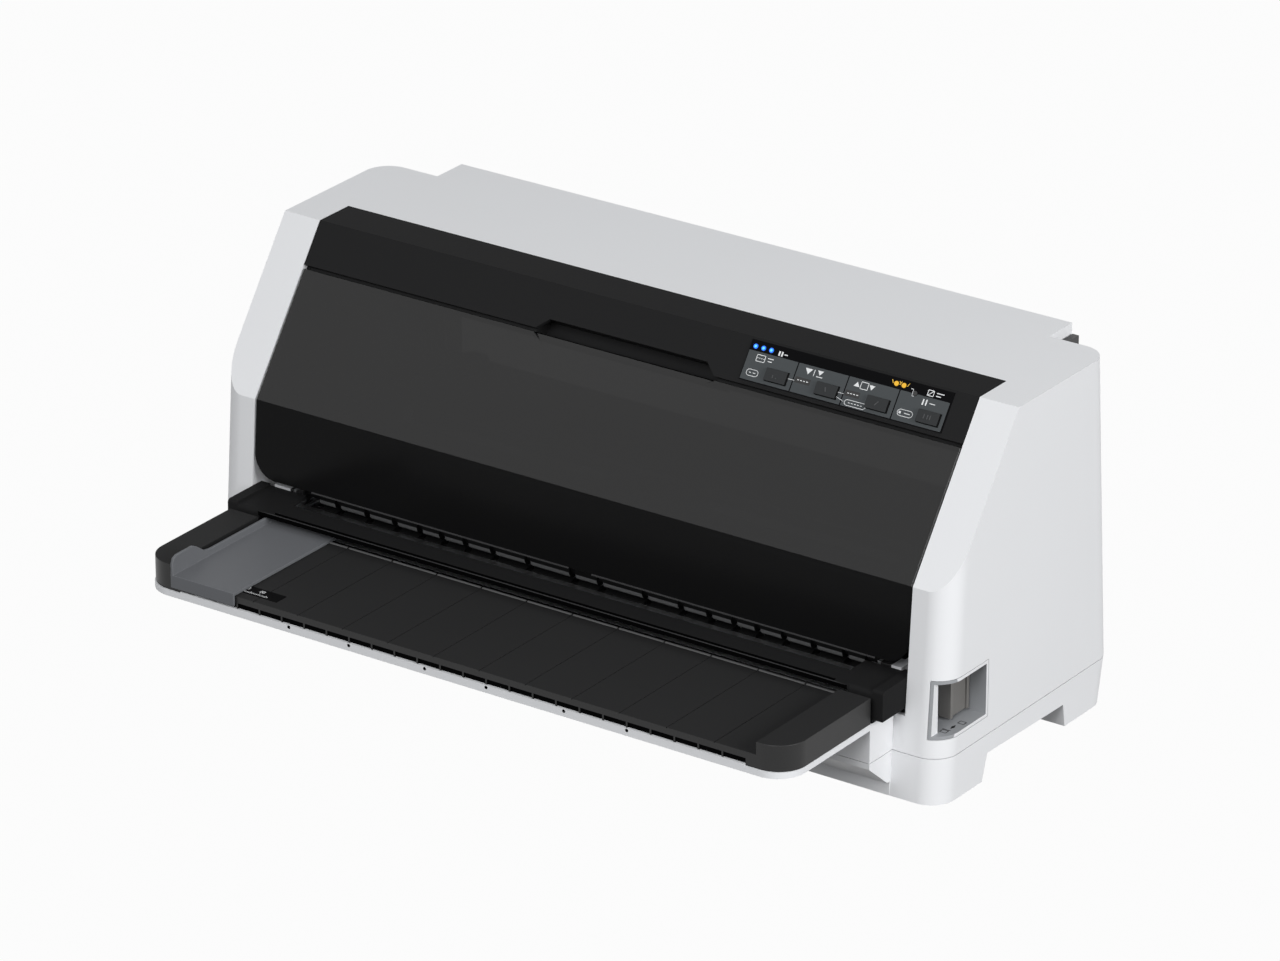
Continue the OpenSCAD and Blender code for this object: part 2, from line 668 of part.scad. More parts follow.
module table_tray() color("gainsboro") at_crease() difference() {
    union() {
        translate([0, 0, box_z]) linear_extrude(table_z - box_z) table_plan(tray_y, ledge_y, 0);
        box([-box_x, box_x], [-ledge_y - 1, front_y(box_z)], [box_z, box_z + tray_t]);
        box([-lip_x, lip_x] * 0.999, [-tray_y, -table_y + table_t], [box_z, lip_z]);
    }
    translate([0, 0, box_z + tray_t]) linear_extrude(BIG)
        table_plan(table_y, ledge_y - 1 - tray_wall, tray_wall);
    for (x = dot_xs) rod_y(1, span(-tray_y, -1, 1.4), [x, lip_z - 1.2]);
}

ruler_x = span(-guide_x, 27, 66);
ruler_y = [-163, -154];
module table_ruler() color([0.05, 0.05, 0.05]) at_crease() box(ruler_x, ruler_y, span(plate_z, 0, 0.2));

guide_z = plate_z + guide_gap;
guide_top = guide_z + guide_t;
wall_top = plate_z + guide_h;
grip_top = plate_z + grip_h;
module edge_guide() color([0.36, 0.37, 0.39]) at_crease() difference() {
    union() {
        difference() {
            box(span(-guide_x, 0, guide_w), [-front_reach, -guide_y], [guide_z, guide_top]);
            // Rounded rear corner
            translate([-guide_x + guide_w - 5, -guide_y - 5, 0]) difference() {
                cube([6, 6, BIG]);
                cylinder(r = 5, h = BIG);
            }
        }
        box(span(-guide_x, 0, guide_w), [-front_reach, -table_y - guide_gap], [guide_lip_z, guide_top]);
        along_x(span(-guide_x, 0, guide_t)) polygon([
            [-front_reach, guide_lip_z], [-table_y - guide_gap, guide_lip_z], [-table_y - guide_gap, guide_z],
            [-guide_y, guide_z], [-guide_y, guide_top], [-guide_y - 6.5, wall_top],
            [-front_reach + grip_l + 15, wall_top], [-front_reach + grip_l + 10, wall_top + 0.8],
            [-front_reach + grip_l + 4, grip_top - 2], [-front_reach + grip_l, grip_top],
            [-front_reach + 4, grip_top], [-front_reach + 1.2, grip_top - 1.2], [-front_reach, grip_top - 4],
        ]);
    }
    // Groove that passes over the broken rib of the table
    box([-BIG, BIG], mid(-rib_y, rib_w + 1), [0, plate_z + rib_h + fit]);
}

/* Front paper guide and the path behind it */
block_y = 88;
block_back = 57.5;
beam_lip = 1;
beam_groove = 2.4;
slot_x = frame_in - 7.1;
arm_x = cheek_in - 0.4;
arm_low = 52.5;

// Section in y and z with a round top front edge
module round_front(y, z, r) {
    translate([y[0], z[0]]) square([y[1] - y[0], z[1] - z[0] - r]);
    translate([y[0] + r, z[0]]) square([y[1] - y[0] - r, z[1] - z[0]]);
    translate([y[0] + r, z[1] - r]) circle(r);
}

module front_paper_guide() color([0.12, 0.12, 0.12]) at_crease() {
    difference() {
        box([-block_x, block_x], [-beam_y, -beam_back], [beam_z - beam_t, beam_z]);
        box([-slot_x, slot_x], span(-beam_y, beam_lip, beam_lip + beam_groove), [beam_z - beam_t / 2, BIG]);
    }
    both_sides() {
        box([slot_x, block_x], [-beam_back, -block_back], [beam_z - beam_t, beam_z]);
        along_x([block_x, box_x]) round_front([-block_y, -block_back], [box_z + tray_t, beam_z], 2.5);
        along_x([box_x, arm_x]) round_front([-block_y, -block_back], [arm_low, arm_z], 2);
    }
}

path_z = plate_z + 0.75;
low_roller_z = path_z - nip / 2 - roller_r;
high_roller_z = path_z + nip / 2 + roller_r;
function mesh(a, b) = gear_m * (a + b) / 2 + 0.15;
roller_teeth = 20;
idler_teeth = 48;
pinion_teeth = 12;
back_idler_teeth = 50;
tractor_teeth = 22;
rear_roller_y = -front_roller_y + 2 * mesh(roller_teeth, idler_teeth);
roller_spots = [
    for (y = [-front_roller_y, rear_roller_y], z = [low_roller_z, high_roller_z]) [y, z],
];
path_t = 1.8;
path_top = plate_z - 0.2;

module paper_path_plate() color("silver") at_crease() difference() {
    box([-frame_in, frame_in], [-plate_y + 0.5, rear_y - wall - 3.5], span(path_top, -path_t, 0));
    for (y = [-front_roller_y, rear_roller_y]) {
        box([-frame_in + 4, frame_in - 4], mid(y, 2 * (roller_r + 0.5)), [0, BIG]);
        both_sides() box([frame_in - 1.3, BIG], mid(y, 2 * (roller_r + 0.5)), [0, BIG]);
        box([-BIG, BIG], mid(y, 2 * roller_shaft_r), [0, low_roller_z + roller_shaft_r + fit]);
    }
    box([-frame_in - 1, frame_in + 1], mid(-print_y, platen_w + 1), [0, BIG]);
    rod_z(carriage_motor_r + 1, [0, BIG], [belt_x, belt_y]);
}

// Half of the rubber segments of a roller from the middle outwards, as shares of its reach
roller_reach = frame_in - 11.7;
segment_shares = [[-0.0389, 0.0389], [0.0622, 0.2044], [0.2267, 0.3339], [0.3561, 0.4361],
    [0.4583, 0.525], [0.5472, 0.6083], [0.6306, 0.7028], [0.725, 0.8083], [0.8306, 0.9194], [0.9417, 1]];
shaft_end = frame_in + frame_t + 1;
gear_x = [-frame_in - frame_t - 1 - gear_w, -frame_in - frame_t - 1];

module roller(at, r, shaft_x) {
    rod_x(roller_shaft_r, shaft_x, at);
    both_sides() for (s = segment_shares) rod_x(r, s * roller_reach, at);
}

// Toothed outline with n teeth, the first of them at angle 0
function polar(r, a) = [r * cos(a), r * sin(a)];
function gear_points(n) = [
    for (k = [0:n - 1], c = [[-0.3, -1.1], [-0.13, 0.85], [0.13, 0.85], [0.3, -1.1]])
        polar(gear_m * (n / 2 + c[1]), (k + c[0]) * 360 / n)
];
module gear(n, phase, at, bore)
    along_x(gear_x) translate(at) difference() {
        rotate(phase) polygon(gear_points(n));
        circle(bore);
    }
// Turn of a gear with nb teeth that meshes, in the direction a, with one of na teeth turned by pa
function mesh_phase(pa, na, nb, a) = a + 180 - 360 / nb * (0.5 - (a - pa) * na / 360);
function along(at, d, a) = [at[0] + d * cos(a), at[1] + d * sin(a)];

front_at = [-front_roller_y, low_roller_z];
rear_at = [rear_roller_y, low_roller_z];
idler_at = [(front_at[0] + rear_at[0]) / 2, low_roller_z];
pinion_at = along(idler_at, mesh(idler_teeth, pinion_teeth), -45);
back_idler_at = along(rear_at, mesh(roller_teeth, back_idler_teeth), 7.5);
drive_at = along(back_idler_at, mesh(back_idler_teeth, tractor_teeth), 16);
front_phase = mesh_phase(0, idler_teeth, roller_teeth, 180);
rear_phase = mesh_phase(0, idler_teeth, roller_teeth, 0);
pinion_phase = mesh_phase(0, idler_teeth, pinion_teeth, -45);
back_idler_phase = mesh_phase(rear_phase, roller_teeth, back_idler_teeth, 7.5);
drive_phase = mesh_phase(back_idler_phase, back_idler_teeth, tractor_teeth, 16);

module front_feed_roller() color("gray") at_crease() {
    roller(front_at, roller_r, [gear_x[0], shaft_end]);
    gear(roller_teeth, front_phase, front_at, roller_shaft_r - 0.5);
}
module rear_feed_roller() color("gray") at_crease() {
    roller(rear_at, roller_r, [gear_x[0], shaft_end]);
    gear(roller_teeth, rear_phase, rear_at, roller_shaft_r - 0.5);
}
module front_pinch_roller() color("gray") at_crease()
    roller([-front_roller_y, high_roller_z], roller_r, [-1, 1] * (frame_in + frame_t - fit));
module rear_pinch_roller() color("gray") at_crease()
    roller([rear_roller_y, high_roller_z], roller_r, [-1, 1] * (frame_in + frame_t - fit));

bush_r = roller_r - 0.4;
module roller_bushes() color("white") at_crease() both_sides() for (at = roller_spots) difference() {
    union() {
        rod_x(bush_r, [frame_in, frame_in + frame_t], at);
        rod_x(bush_r + 0.4, [frame_in - 1, frame_in], at);
    }
    rod_x(roller_shaft_r + shaft_play, [0, BIG], at);
}

platen_top = path_top + 0.1;
module platen_bar() color("dimgray") at_crease()
    box([-frame_in, frame_in], mid(-print_y, platen_w), [platen_top - platen_h, platen_top]);

/* Steel frame */
screw_r = 1.5;
screw_head = [3, 1.8];
pan_top = pan_floor;
frame_z = pan_top + base_t;
flange_w = 12;
flange_ys = [-40, 50];
frame_screw_spots = [for (x = [-1, 1] * (frame_in - 7), y = flange_ys) [x, y]];
main_shaft_at = [14, 84];
front_rail_at = [-39, 84];
frame_front = 46.5;
tab_y = 45;
tab_z = ribbon_z + 4;
belt_y = 46;
belt_x = frame_in - carriage_motor_r - 0.7;
belt_z = 83;
motor_shelf = 1.6;
shelf_low = belt_z - 4;
axle_r = 3;

module side_frame() difference() {
    union() {
        along_x([frame_in, frame_in + frame_t]) polygon([
            [-block_back + 0.6, frame_z], [-block_back + 0.6, shelf_z], [-frame_front, shelf_z],
            [-frame_front, frame_top - 12], [-frame_front + 12, frame_top], [72, frame_top], [72, frame_z],
        ]);
        for (y = flange_ys) box([frame_in - flange_w, frame_in + 1], span(y, -8, 8), span(frame_z, 0, 1.5));
        // Shelf of a belt pulley
        box([belt_x - carriage_motor_r, frame_in + 1], mid(belt_y, 2 * carriage_motor_r),
            span(shelf_low, -motor_shelf, 0));
    }
    for (at = roller_spots) rod_x(bush_r + 0.05, [0, BIG], at);
    rod_x(guide_shaft_r + shaft_play, [0, BIG], main_shaft_at);
    rod_x(rail_r + shaft_play, [0, BIG], front_rail_at);
    box([0, BIG], span(tab_y, -5.5, 5.5), [tab_z, BIG]);
    for (y = flange_ys) rod_z(screw_r + 0.1, [0, frame_z + 5], [frame_in - 7, y]);
}

module left_side_frame() color("lightsteelblue") at_crease() {
    difference() {
        mirror([1, 0, 0]) side_frame();
        rod_x(axle_r, [-BIG, 0], pinion_at);
    }
    for (at = [idler_at, back_idler_at]) rod_x(axle_r, [gear_x[0] - 0.8, -frame_in - frame_t + 0.5], at);
    rod_z(2.5, [shelf_low - motor_shelf, belt_z + belt_h + 2], [-belt_x, belt_y]);
}

module right_side_frame() color("lightsteelblue") at_crease() difference() {
    side_frame();
    rod_z(4, [0, BIG], [belt_x, belt_y]);
}

module base_plate() color("lightsteelblue") at_crease() difference() {
    box([-1, 1] * (frame_in + frame_t + 6), [-56, 80], [pan_top, frame_z]);
    for (spot = frame_screw_spots) rod_z(screw_r + 0.1, [0, BIG], spot);
}

module main_guide_shaft() color("silver") at_crease()
    rod_x(guide_shaft_r, [-shaft_end, shaft_end], main_shaft_at);
module front_rail() color("silver") at_crease() rod_x(rail_r, [-shaft_end, shaft_end], front_rail_at);

/* Carriage and print head */
head_z = platen_top + head_gap;
deck = [74, 78];
strand_y = belt_y - pulley_r - 0.3 - belt_t;
neck_r = 12;
head_r = 15;
boss_back = 5.4;

module carriage() color([0.25, 0.26, 0.28]) at_crease() difference() {
    union() {
        box(mid(0, carriage_w), mid(main_shaft_at[0], 20), [deck[0], main_shaft_at[1] + 10]);
        box(mid(0, carriage_w - 4), [front_rail_at[0], main_shaft_at[0]], deck);
        box([-20, 20], span(front_rail_at[0], -6, boss_back), [deck[0], front_rail_at[1] + 6]);
        // Clamp that grips the front run of the belt
        box([-8, 8], [main_shaft_at[0] + 9, strand_y + belt_t + 2.5], [deck[0] + 4, belt_z + belt_h + 1]);
    }
    rod_x(guide_shaft_r + shaft_play, [-BIG, BIG], main_shaft_at);
    rod_x(rail_r + shaft_play, [-BIG, BIG], front_rail_at);
    box([-9, 9], span(strand_y, -0.3, belt_t + 0.3), [belt_z - 0.3, BIG]);
    rod_z(neck_r + 0.1, [0, BIG], [0, -print_y]);
}

module print_head() color("dimgray") at_crease() {
    box([-8, 8], span(-print_y, -4, 4), [head_z, deck[0]]);
    rod_z(neck_r, [deck[0] - 4, deck[1]], [0, -print_y]);
    rod_z(head_r - 2, [deck[1], deck[1] + 24], [0, -print_y]);
    for (i = [0:4]) rod_z(head_r, span(deck[1] + i * 5, 0, 2.4), [0, -print_y]);
    box([-13, 13], span(-print_y, -5, 5), span(deck[1], 23, 30));
}

/* Ribbon cartridge */
arm_w = 12;
band_t = 0.3;
band_z = head_z - 0.8;
body_y = [28, 66];
knob_at = [-150, 50];
spindle_r = 4;

module ribbon_cartridge() color([0.13, 0.13, 0.14]) at_crease() difference() {
    union() {
        box([-1, 1] * ribbon_x, body_y, [ribbon_z, ribbon_z + ribbon_h]);
        both_sides() {
            box([ribbon_x - arm_w, ribbon_x], [-print_y - 8, body_y[0] + 1], span(ribbon_z, 0, 12));
            box([ribbon_x - arm_w, ribbon_x], span(-print_y, -8, 8), [band_z - 0.4, ribbon_z + 1]);
            box([ribbon_x - 1, frame_in + frame_t + 1], span(tab_y, -5, 5), span(tab_z, 0, 4));
        }
    }
    rod_z(spindle_r + shaft_play, [ribbon_z + 6, BIG], knob_at);
}

module ribbon_band() color([0.08, 0.08, 0.1]) at_crease()
    box([-1, 1] * (ribbon_x - arm_w), mid(-print_y, band_w), span(band_z, 0, band_t));

module ribbon_knob() color([0.3, 0.3, 0.32]) at_crease() {
    rod_z(spindle_r, [ribbon_z + 6.3, ribbon_z + ribbon_h + 1], knob_at);
    difference() {
        rod_z(knob_r, span(ribbon_z + ribbon_h, 0.3, 7), knob_at);
        for (a = [0:30:330]) translate([knob_at[0], knob_at[1], 0]) rotate(a)
            rod_z(1.3, [0, BIG], [knob_r + 0.5, 0]);
    }
}

/* Carriage drive */
module belt_plan(r) {
    for (x = [-1, 1] * belt_x) translate([x, belt_y]) circle(r);
    translate([-belt_x, belt_y - r]) square([2 * belt_x, 2 * r]);
}
module carriage_belt() color([0.05, 0.05, 0.05]) at_crease() translate([0, 0, belt_z]) linear_extrude(belt_h)
    difference() {
        belt_plan(pulley_r + 0.3 + belt_t);
        belt_plan(pulley_r + 0.3);
    }

module pulley(x, bore) difference() {
    union() {
        rod_z(pulley_r, span(belt_z, -0.5, belt_h + 0.5), [x, belt_y]);
        rod_z(pulley_r + 2.5, span(belt_z, -1.5, -0.5), [x, belt_y]);
        rod_z(pulley_r + 2.5, span(belt_z + belt_h, 0.5, 1.5), [x, belt_y]);
    }
    rod_z(bore, [0, BIG], [x, belt_y]);
    for (a = [15:30:345]) translate([x, belt_y, 0]) rotate(a)
        rod_z(0.5, span(belt_z, -3, belt_h + 3), [pulley_r - 2, 0]);
}
module drive_pulley() color("silver") at_crease() {
    pulley(belt_x, 1.5);
    rod_z(1.5, [shelf_low, belt_z + belt_h + 1.5], [belt_x, belt_y]);
}
module idler_pulley() color("silver") at_crease() pulley(-belt_x, 2.5 + shaft_play);

module carriage_motor() color([0.3, 0.3, 0.32]) at_crease() {
    rod_z(carriage_motor_r, [shelf_low - motor_shelf - 34, shelf_low - motor_shelf], [belt_x, belt_y]);
    rod_z(3.9, [shelf_low - motor_shelf - 1, shelf_low], [belt_x, belt_y]);
}

/* Paper feed drive */
module feed_motor() color([0.3, 0.3, 0.32]) at_crease() {
    rod_x(feed_motor_r, [-frame_in, -frame_in + 36], pinion_at);
    rod_x(axle_r - 0.1, [-frame_in - frame_t, -frame_in + 1], pinion_at);
}
module motor_pinion() color("goldenrod") at_crease() gear(pinion_teeth, pinion_phase, pinion_at, 0.8);
module feed_idler_gear() color("ivory") at_crease() gear(idler_teeth, 0, idler_at, axle_r + shaft_play);
module tractor_idler_gear() color("ivory") at_crease()
    gear(back_idler_teeth, back_idler_phase, back_idler_at, axle_r + shaft_play);

/* Release lever and its recess */
lever_y = 36;
lever_pin_r = 3;
lever_x = [lever_x0 + recess_t + 1.2, lever_x0 + recess_t + 1.2 + lever_t];
lever_arm = 8;
lever_low = recess_z0 + 3.4;
lever_high = recess_z1 - 4;
recess_front = front_y(recess_z1 + recess_t) + wall + fit;

module release_lever() color([0.35, 0.35, 0.36]) at_crease() {
    difference() {
        along_x(lever_x) {
            translate([-lever_y, lever_z]) circle(7);
            translate([-lever_y - lever_arm / 2, lever_high - 1]) square([lever_arm, lever_z - lever_high + 1]);
        }
        rod_x(lever_pin_r + shaft_play, [0, BIG], [-lever_y, lever_z]);
    }
    // Grip with its upright ribs
    box(lever_x, mid(-lever_y, lever_grip), [lever_low, lever_high]);
    for (y = [-1, 1] * (lever_grip / 2 - 1.2))
        box([lever_x[1] - 0.5, lever_x[1] + 1.4], span(-lever_y + y, -1.2, 1.2), [lever_low, lever_high]);
}

module lever_recess() color([0.82, 0.83, 0.84]) at_crease() difference() {
    union() {
        // Cup behind the opening
        intersection() {
            box([lever_x0, recess_x + 4], [recess_front, -recess_y + recess_t],
                [recess_z0 - recess_t, recess_z1 + recess_t]);
            case_form(upper_cut, wall + fit);
        }
        // Rim that fills the opening, flush with the case
        intersection() {
            case_form(upper_cut, 0);
            box([recess_x + fit, BIG], [-BIG, -recess_y - fit], [recess_z0 + fit, recess_z1 - fit]);
        }
    }
    box([lever_x0 + recess_t, BIG], [recess_front + recess_t, -recess_y - fit - recess_t],
        [recess_z0 + fit + recess_t, recess_z1 - fit - recess_t]);
    box([recess_x + fit + recess_t, BIG], [-BIG, -recess_y - fit - recess_t],
        [recess_z0 + fit + recess_t, recess_z1 - fit - recess_t]);
    // Slot for the lever's arm
    box(mid((lever_x[0] + lever_x[1]) / 2, lever_t + 1.2),
        [recess_front + recess_t + 2, -lever_y + lever_arm / 2 + 1], [recess_z1 - 5, BIG]);
}

/* Paper guide and tractors at the back */
ear_in = hood_x + 0.8;
ear_t = 4;
drive_end = ear_in + ear_t + 1;
ear_back = hood_y - 0.5;
ear_z = [52, 200];
tongue_r = drive_shaft_r + 2;
support_at = [106, 66];
tractor_y = [84.5, 111.5];
tractor_z = [59.5, 77];
bar_z = [124, 129];
pin_count = 5;
cover_leaf_t = 2;
leaf_pin_r = 1.2;
leaf_x = tractor_x + tractor_w / 2 - 3;
leaf_z = tractor_z[1] + 3.6;

module rear_paper_guide() color([0.1, 0.1, 0.1]) at_crease() {
    difference() {
        both_sides() {
            along_x([ear_in, ear_in + ear_t]) polygon([
                [rear_at(ear_z[0]), ear_z[0]], [ear_back, ear_z[0]],
                [ear_back, ear_z[1]], [rear_at(ear_z[1]), ear_z[1]],
            ]);
            // Tongue that reaches into the case and carries the drive shaft
            box([ear_in, ear_in + ear_t], [drive_at[0] - tongue_r, ear_back], mid(drive_at[1], 2 * tongue_r));
        }
        rod_x(drive_shaft_r + shaft_play, [-BIG, BIG], drive_at);
        rod_x(support_shaft_r + 0.02, [-BIG, BIG], support_at);
    }
    box([-ear_in - 1, ear_in + 1], [rear_at(ear_z[0]), ear_back], [ear_z[0], ear_z[0] + 3]);
    box([-ear_in - 1, ear_in + 1], [100, 104], bar_z);
}

module tractor_drive_shaft() color("silver") at_crease() {
    rod_x(drive_shaft_r, [-1, 1] * drive_end, drive_at);
    gear(tractor_teeth, drive_phase, drive_at, drive_shaft_r - 0.5);
}
module tractor_support_shaft() color("silver") at_crease()
    rod_x(support_shaft_r, [-1, 1] * (ear_in + ear_t), support_at);

module tractor() {
    difference() {
        box(mid(tractor_x, tractor_w), tractor_y, tractor_z);
        rod_x(drive_shaft_r + shaft_play, [0, BIG], drive_at);
        rod_x(support_shaft_r + shaft_play, [0, BIG], support_at);
    }
    // Pins that carry the paper, and the two cheeks of the cover's hinge
    for (i = [0:pin_count - 1])
        rod_z(1.4, span(tractor_z[1], -1, 2), [tractor_x - 2, tractor_y[0] + 4 + i * 4.8]);
    for (y = [tractor_y[0], tractor_y[1] - 3]) difference() {
        box(mid(leaf_x, 6), span(y, 0, 3), [tractor_z[1] - 1, leaf_z + 2.6]);
        rod_y(leaf_pin_r + shaft_play, span(y, -1, 4), [leaf_x, leaf_z]);
    }
}

// Leaf that holds the paper down on the pins
module tractor_leaf() difference() {
    union() {
        box([tractor_x - tractor_w / 2, leaf_x], tractor_y + [3.3, -3.3], mid(leaf_z, cover_leaf_t));
        rod_y(leaf_pin_r, tractor_y + [0.3, -0.3], [leaf_x, leaf_z]);
        rod_y(leaf_pin_r + 1, tractor_y + [3.3, -3.3], [leaf_x, leaf_z]);
    }
    box(mid(tractor_x - 2, 4.4), tractor_y + [5, -5], [0, BIG]);
}
module left_tractor() color([0.15, 0.15, 0.16]) at_crease() mirror([1, 0, 0]) tractor();
module right_tractor() color([0.15, 0.15, 0.16]) at_crease() tractor();
module left_tractor_cover() color([0.25, 0.25, 0.27]) at_crease() mirror([1, 0, 0]) tractor_leaf();
module right_tractor_cover() color([0.25, 0.25, 0.27]) at_crease() tractor_leaf();

/* Electronics */
board_z = frame_z + 4;
board_y = [-50, rear_at(socket_z[0]) - 22];
supply_z = [frame_z, 51];
supply_y = [40, rear_at(supply_z[1]) - wall - 6];

module main_board() color("darkgreen") at_crease() {
    box(board_x, board_y, span(board_z, 0, board_t));
    for (x = board_x + [6, -6], y = board_y + [6, -6]) rod_z(3, [frame_z, board_z], [x, y]);
    // Processor, driver transistors and their heat sink
    box(span(board_x[0], 50, 78), [-20, 8], span(board_z, board_t, 4));
    box(span(board_x[0], 100, 118), [-30, -12], span(board_z, board_t, 4));
    box(span(board_x[1], -40, -10), [10, 22], span(board_z, board_t, 20));
    for (i = [0:4]) rod_z(4, span(board_z, board_t, 14), [board_x[0] + 10 + 14 * i, board_y[1] - 18]);
}

module power_supply() color("lightsteelblue") at_crease() difference() {
    box(supply_x, supply_y, supply_z);
    for (x = [supply_x[0] + 10:8:supply_x[1] - 10]) box(span(x, 0, 3), span(supply_y[0], 10, 40), [supply_z[1] - 3, BIG]);
}

module mains_inlet() color([0.08, 0.08, 0.08]) at_crease() {
    difference() {
        box(mid(inlet_x, inlet_size.x), [supply_y[1], rear_at(inlet_z) + 0.8], span(inlet_z, 0, inlet_size.y));
        box(mid(inlet_x, inlet_size.x - 6), [supply_y[1] + 2, BIG], span(inlet_z, 3, inlet_size.y - 3));
    }
    for (x = [-7, 0, 7])
        box(mid(inlet_x + x, 2), [supply_y[1] + 1, rear_at(inlet_z) - 1], mid(inlet_z + inlet_size.y / 2, 4));
}

module interface_sockets() color("silver") at_crease() difference() {
    for (s = socket_spots) {
        box(mid(s[0], s[1]), [board_y[1] - 10, rear_at(socket_z[0]) + 0.6], socket_z);
        box(mid(s[0], s[1] - 4), span(board_y[1], -8, 0), [board_z + board_t, socket_z[0]]);
    }
    for (s = socket_spots) box(mid(s[0], s[1] - 4), [rear_at(socket_z[0]) - 8, BIG], socket_z + [2, -2]);
}

/* Screws */
module case_screws() color("gray") at_crease()
    for (s = rear_screws) on_rear(s) {
        cylinder(r = screw_r, h = wall + 2);
        translate([0, 0, -screw_head[1]]) cylinder(r = screw_head[0], h = screw_head[1]);
    }
module frame_screws() color("gray") at_crease()
    for (s = frame_screw_spots) {
        rod_z(screw_r, [pan_z + 0.5, frame_z + 2], s);
        rod_z(screw_head[0], span(frame_z + 1.5, 0, screw_head[1]), s);
    }

lower_case();
upper_case();
rubber_feet();
control_panel();
key_label();
font_key();
feed_key();
load_key();
pause_key();
indicator_lights();
panel_board();
front_cover();
hinge_bearings();
side_trims();
paper_table();
table_tray();
table_ruler();
edge_guide();
front_paper_guide();
paper_path_plate();
front_feed_roller();
front_pinch_roller();
rear_feed_roller();
rear_pinch_roller();
roller_bushes();
platen_bar();
left_side_frame();
right_side_frame();
base_plate();
main_guide_shaft();
front_rail();
carriage();
print_head();
ribbon_cartridge();
ribbon_band();
ribbon_knob();
carriage_belt();
drive_pulley();
idler_pulley();
carriage_motor();
feed_motor();
motor_pinion();
feed_idler_gear();
tractor_idler_gear();
release_lever();
lever_recess();
rear_paper_guide();
tractor_drive_shaft();
tractor_support_shaft();
left_tractor();
right_tractor();
left_tractor_cover();
right_tractor_cover();
main_board();
power_supply();
mains_inlet();
interface_sockets();
case_screws();
frame_screws();
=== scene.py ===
import json
import math

import bmesh
import bpy
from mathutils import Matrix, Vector


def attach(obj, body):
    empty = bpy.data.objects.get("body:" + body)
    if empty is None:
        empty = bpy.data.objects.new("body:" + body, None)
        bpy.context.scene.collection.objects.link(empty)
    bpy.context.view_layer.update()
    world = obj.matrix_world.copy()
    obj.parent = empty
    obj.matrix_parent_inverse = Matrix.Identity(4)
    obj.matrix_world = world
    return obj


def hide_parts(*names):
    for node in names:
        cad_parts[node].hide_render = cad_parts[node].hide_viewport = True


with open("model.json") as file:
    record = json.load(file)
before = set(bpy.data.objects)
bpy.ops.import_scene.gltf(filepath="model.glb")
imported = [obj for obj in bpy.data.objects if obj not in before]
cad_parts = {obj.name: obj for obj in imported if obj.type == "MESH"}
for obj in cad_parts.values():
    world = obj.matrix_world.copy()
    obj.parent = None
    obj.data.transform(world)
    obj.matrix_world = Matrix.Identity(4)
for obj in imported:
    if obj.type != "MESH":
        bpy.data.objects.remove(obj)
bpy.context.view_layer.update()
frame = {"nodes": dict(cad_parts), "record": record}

# The studio: a pale floor and soft lamps, so that the white case and the black panels both
# keep their shape. The floor and the world look white to the eye and to gloss, and the world
# lights the printer at a plain level.
scene = bpy.context.scene
scene.view_settings.view_transform = "Standard"
lamp_target = (0, 0, 0.1)
room_light = 0.27
white_share = 0.97


def aim(thing, target):
    """Turns a lamp or the camera to look at a point"""
    thing.rotation_euler = (Vector(target) - thing.location).to_track_quat("-Z", "Y").to_euler()


def lamp(name, place, size, power):
    """A soft rectangular lamp aimed at the printer"""
    data = bpy.data.lights.new(name, "AREA")
    data.shape = "RECTANGLE"
    data.size, data.size_y = size
    data.energy = power
    holder = bpy.data.objects.new(name, data)
    scene.collection.objects.link(holder)
    holder.location = place
    aim(holder, lamp_target)


def add(tree, kind, place, **settings):
    """A node on a loose grid, with its own settings"""
    node = tree.nodes.new(kind)
    node.location = (place[0] * 200, place[1] * 160)
    for key, value in settings.items():
        setattr(node, key, value)
    return node


def join(tree, out, into):
    tree.links.new(out, into)


def reckon(tree, place, operation, *terms):
    """A maths node; each term is a number or another node's output"""
    node = add(tree, "ShaderNodeMath", place, operation=operation)
    for socket, term in zip(node.inputs, terms):
        if isinstance(term, (int, float)):
            socket.default_value = term
        else:
            join(tree, term, socket)
    return node.outputs[0]


def seen_rays(tree):
    """1 for rays from the eye, from gloss or through clear plastic, 0 for rays that light"""
    path = add(tree, "ShaderNodeLightPath", (-3, 2)).outputs
    direct = reckon(tree, (-2, 2), "MAXIMUM", path["Is Camera Ray"], path["Is Glossy Ray"])
    return reckon(tree, (-1, 2), "MAXIMUM", direct, path["Is Transmission Ray"])


def mix_shaders(tree, share, first, second, surface):
    """Shows the second shader where share is 1 and the first where it is 0"""
    mixed = add(tree, "ShaderNodeMixShader", (2, 1))
    join(tree, share, mixed.inputs["Fac"])
    join(tree, first, mixed.inputs[1])
    join(tree, second, mixed.inputs[2])
    join(tree, mixed.outputs[0], surface)


lamp("front_softbox", (0.7, -2.8, 2.05), (2.0, 1.8), 69)
lamp("side_softbox", (3.4, -0.35, 1.25), (2.0, 1.6), 83)

world = bpy.data.worlds.new("studio")
scene.world = world
world.use_nodes = True
tree = world.node_tree
tree.nodes.clear()
skies = []
for colour, strength in (((0.96, 0.98, 1), room_light), ((1, 1, 1), 1)):
    sky = add(tree, "ShaderNodeBackground", (0, -len(skies)))
    sky.inputs["Color"].default_value = (*colour, 1)
    sky.inputs["Strength"].default_value = strength
    skies.append(sky.outputs[0])
world_out = add(tree, "ShaderNodeOutputWorld", (3, 1))
mix_shaders(tree, seen_rays(tree), *skies, world_out.inputs["Surface"])

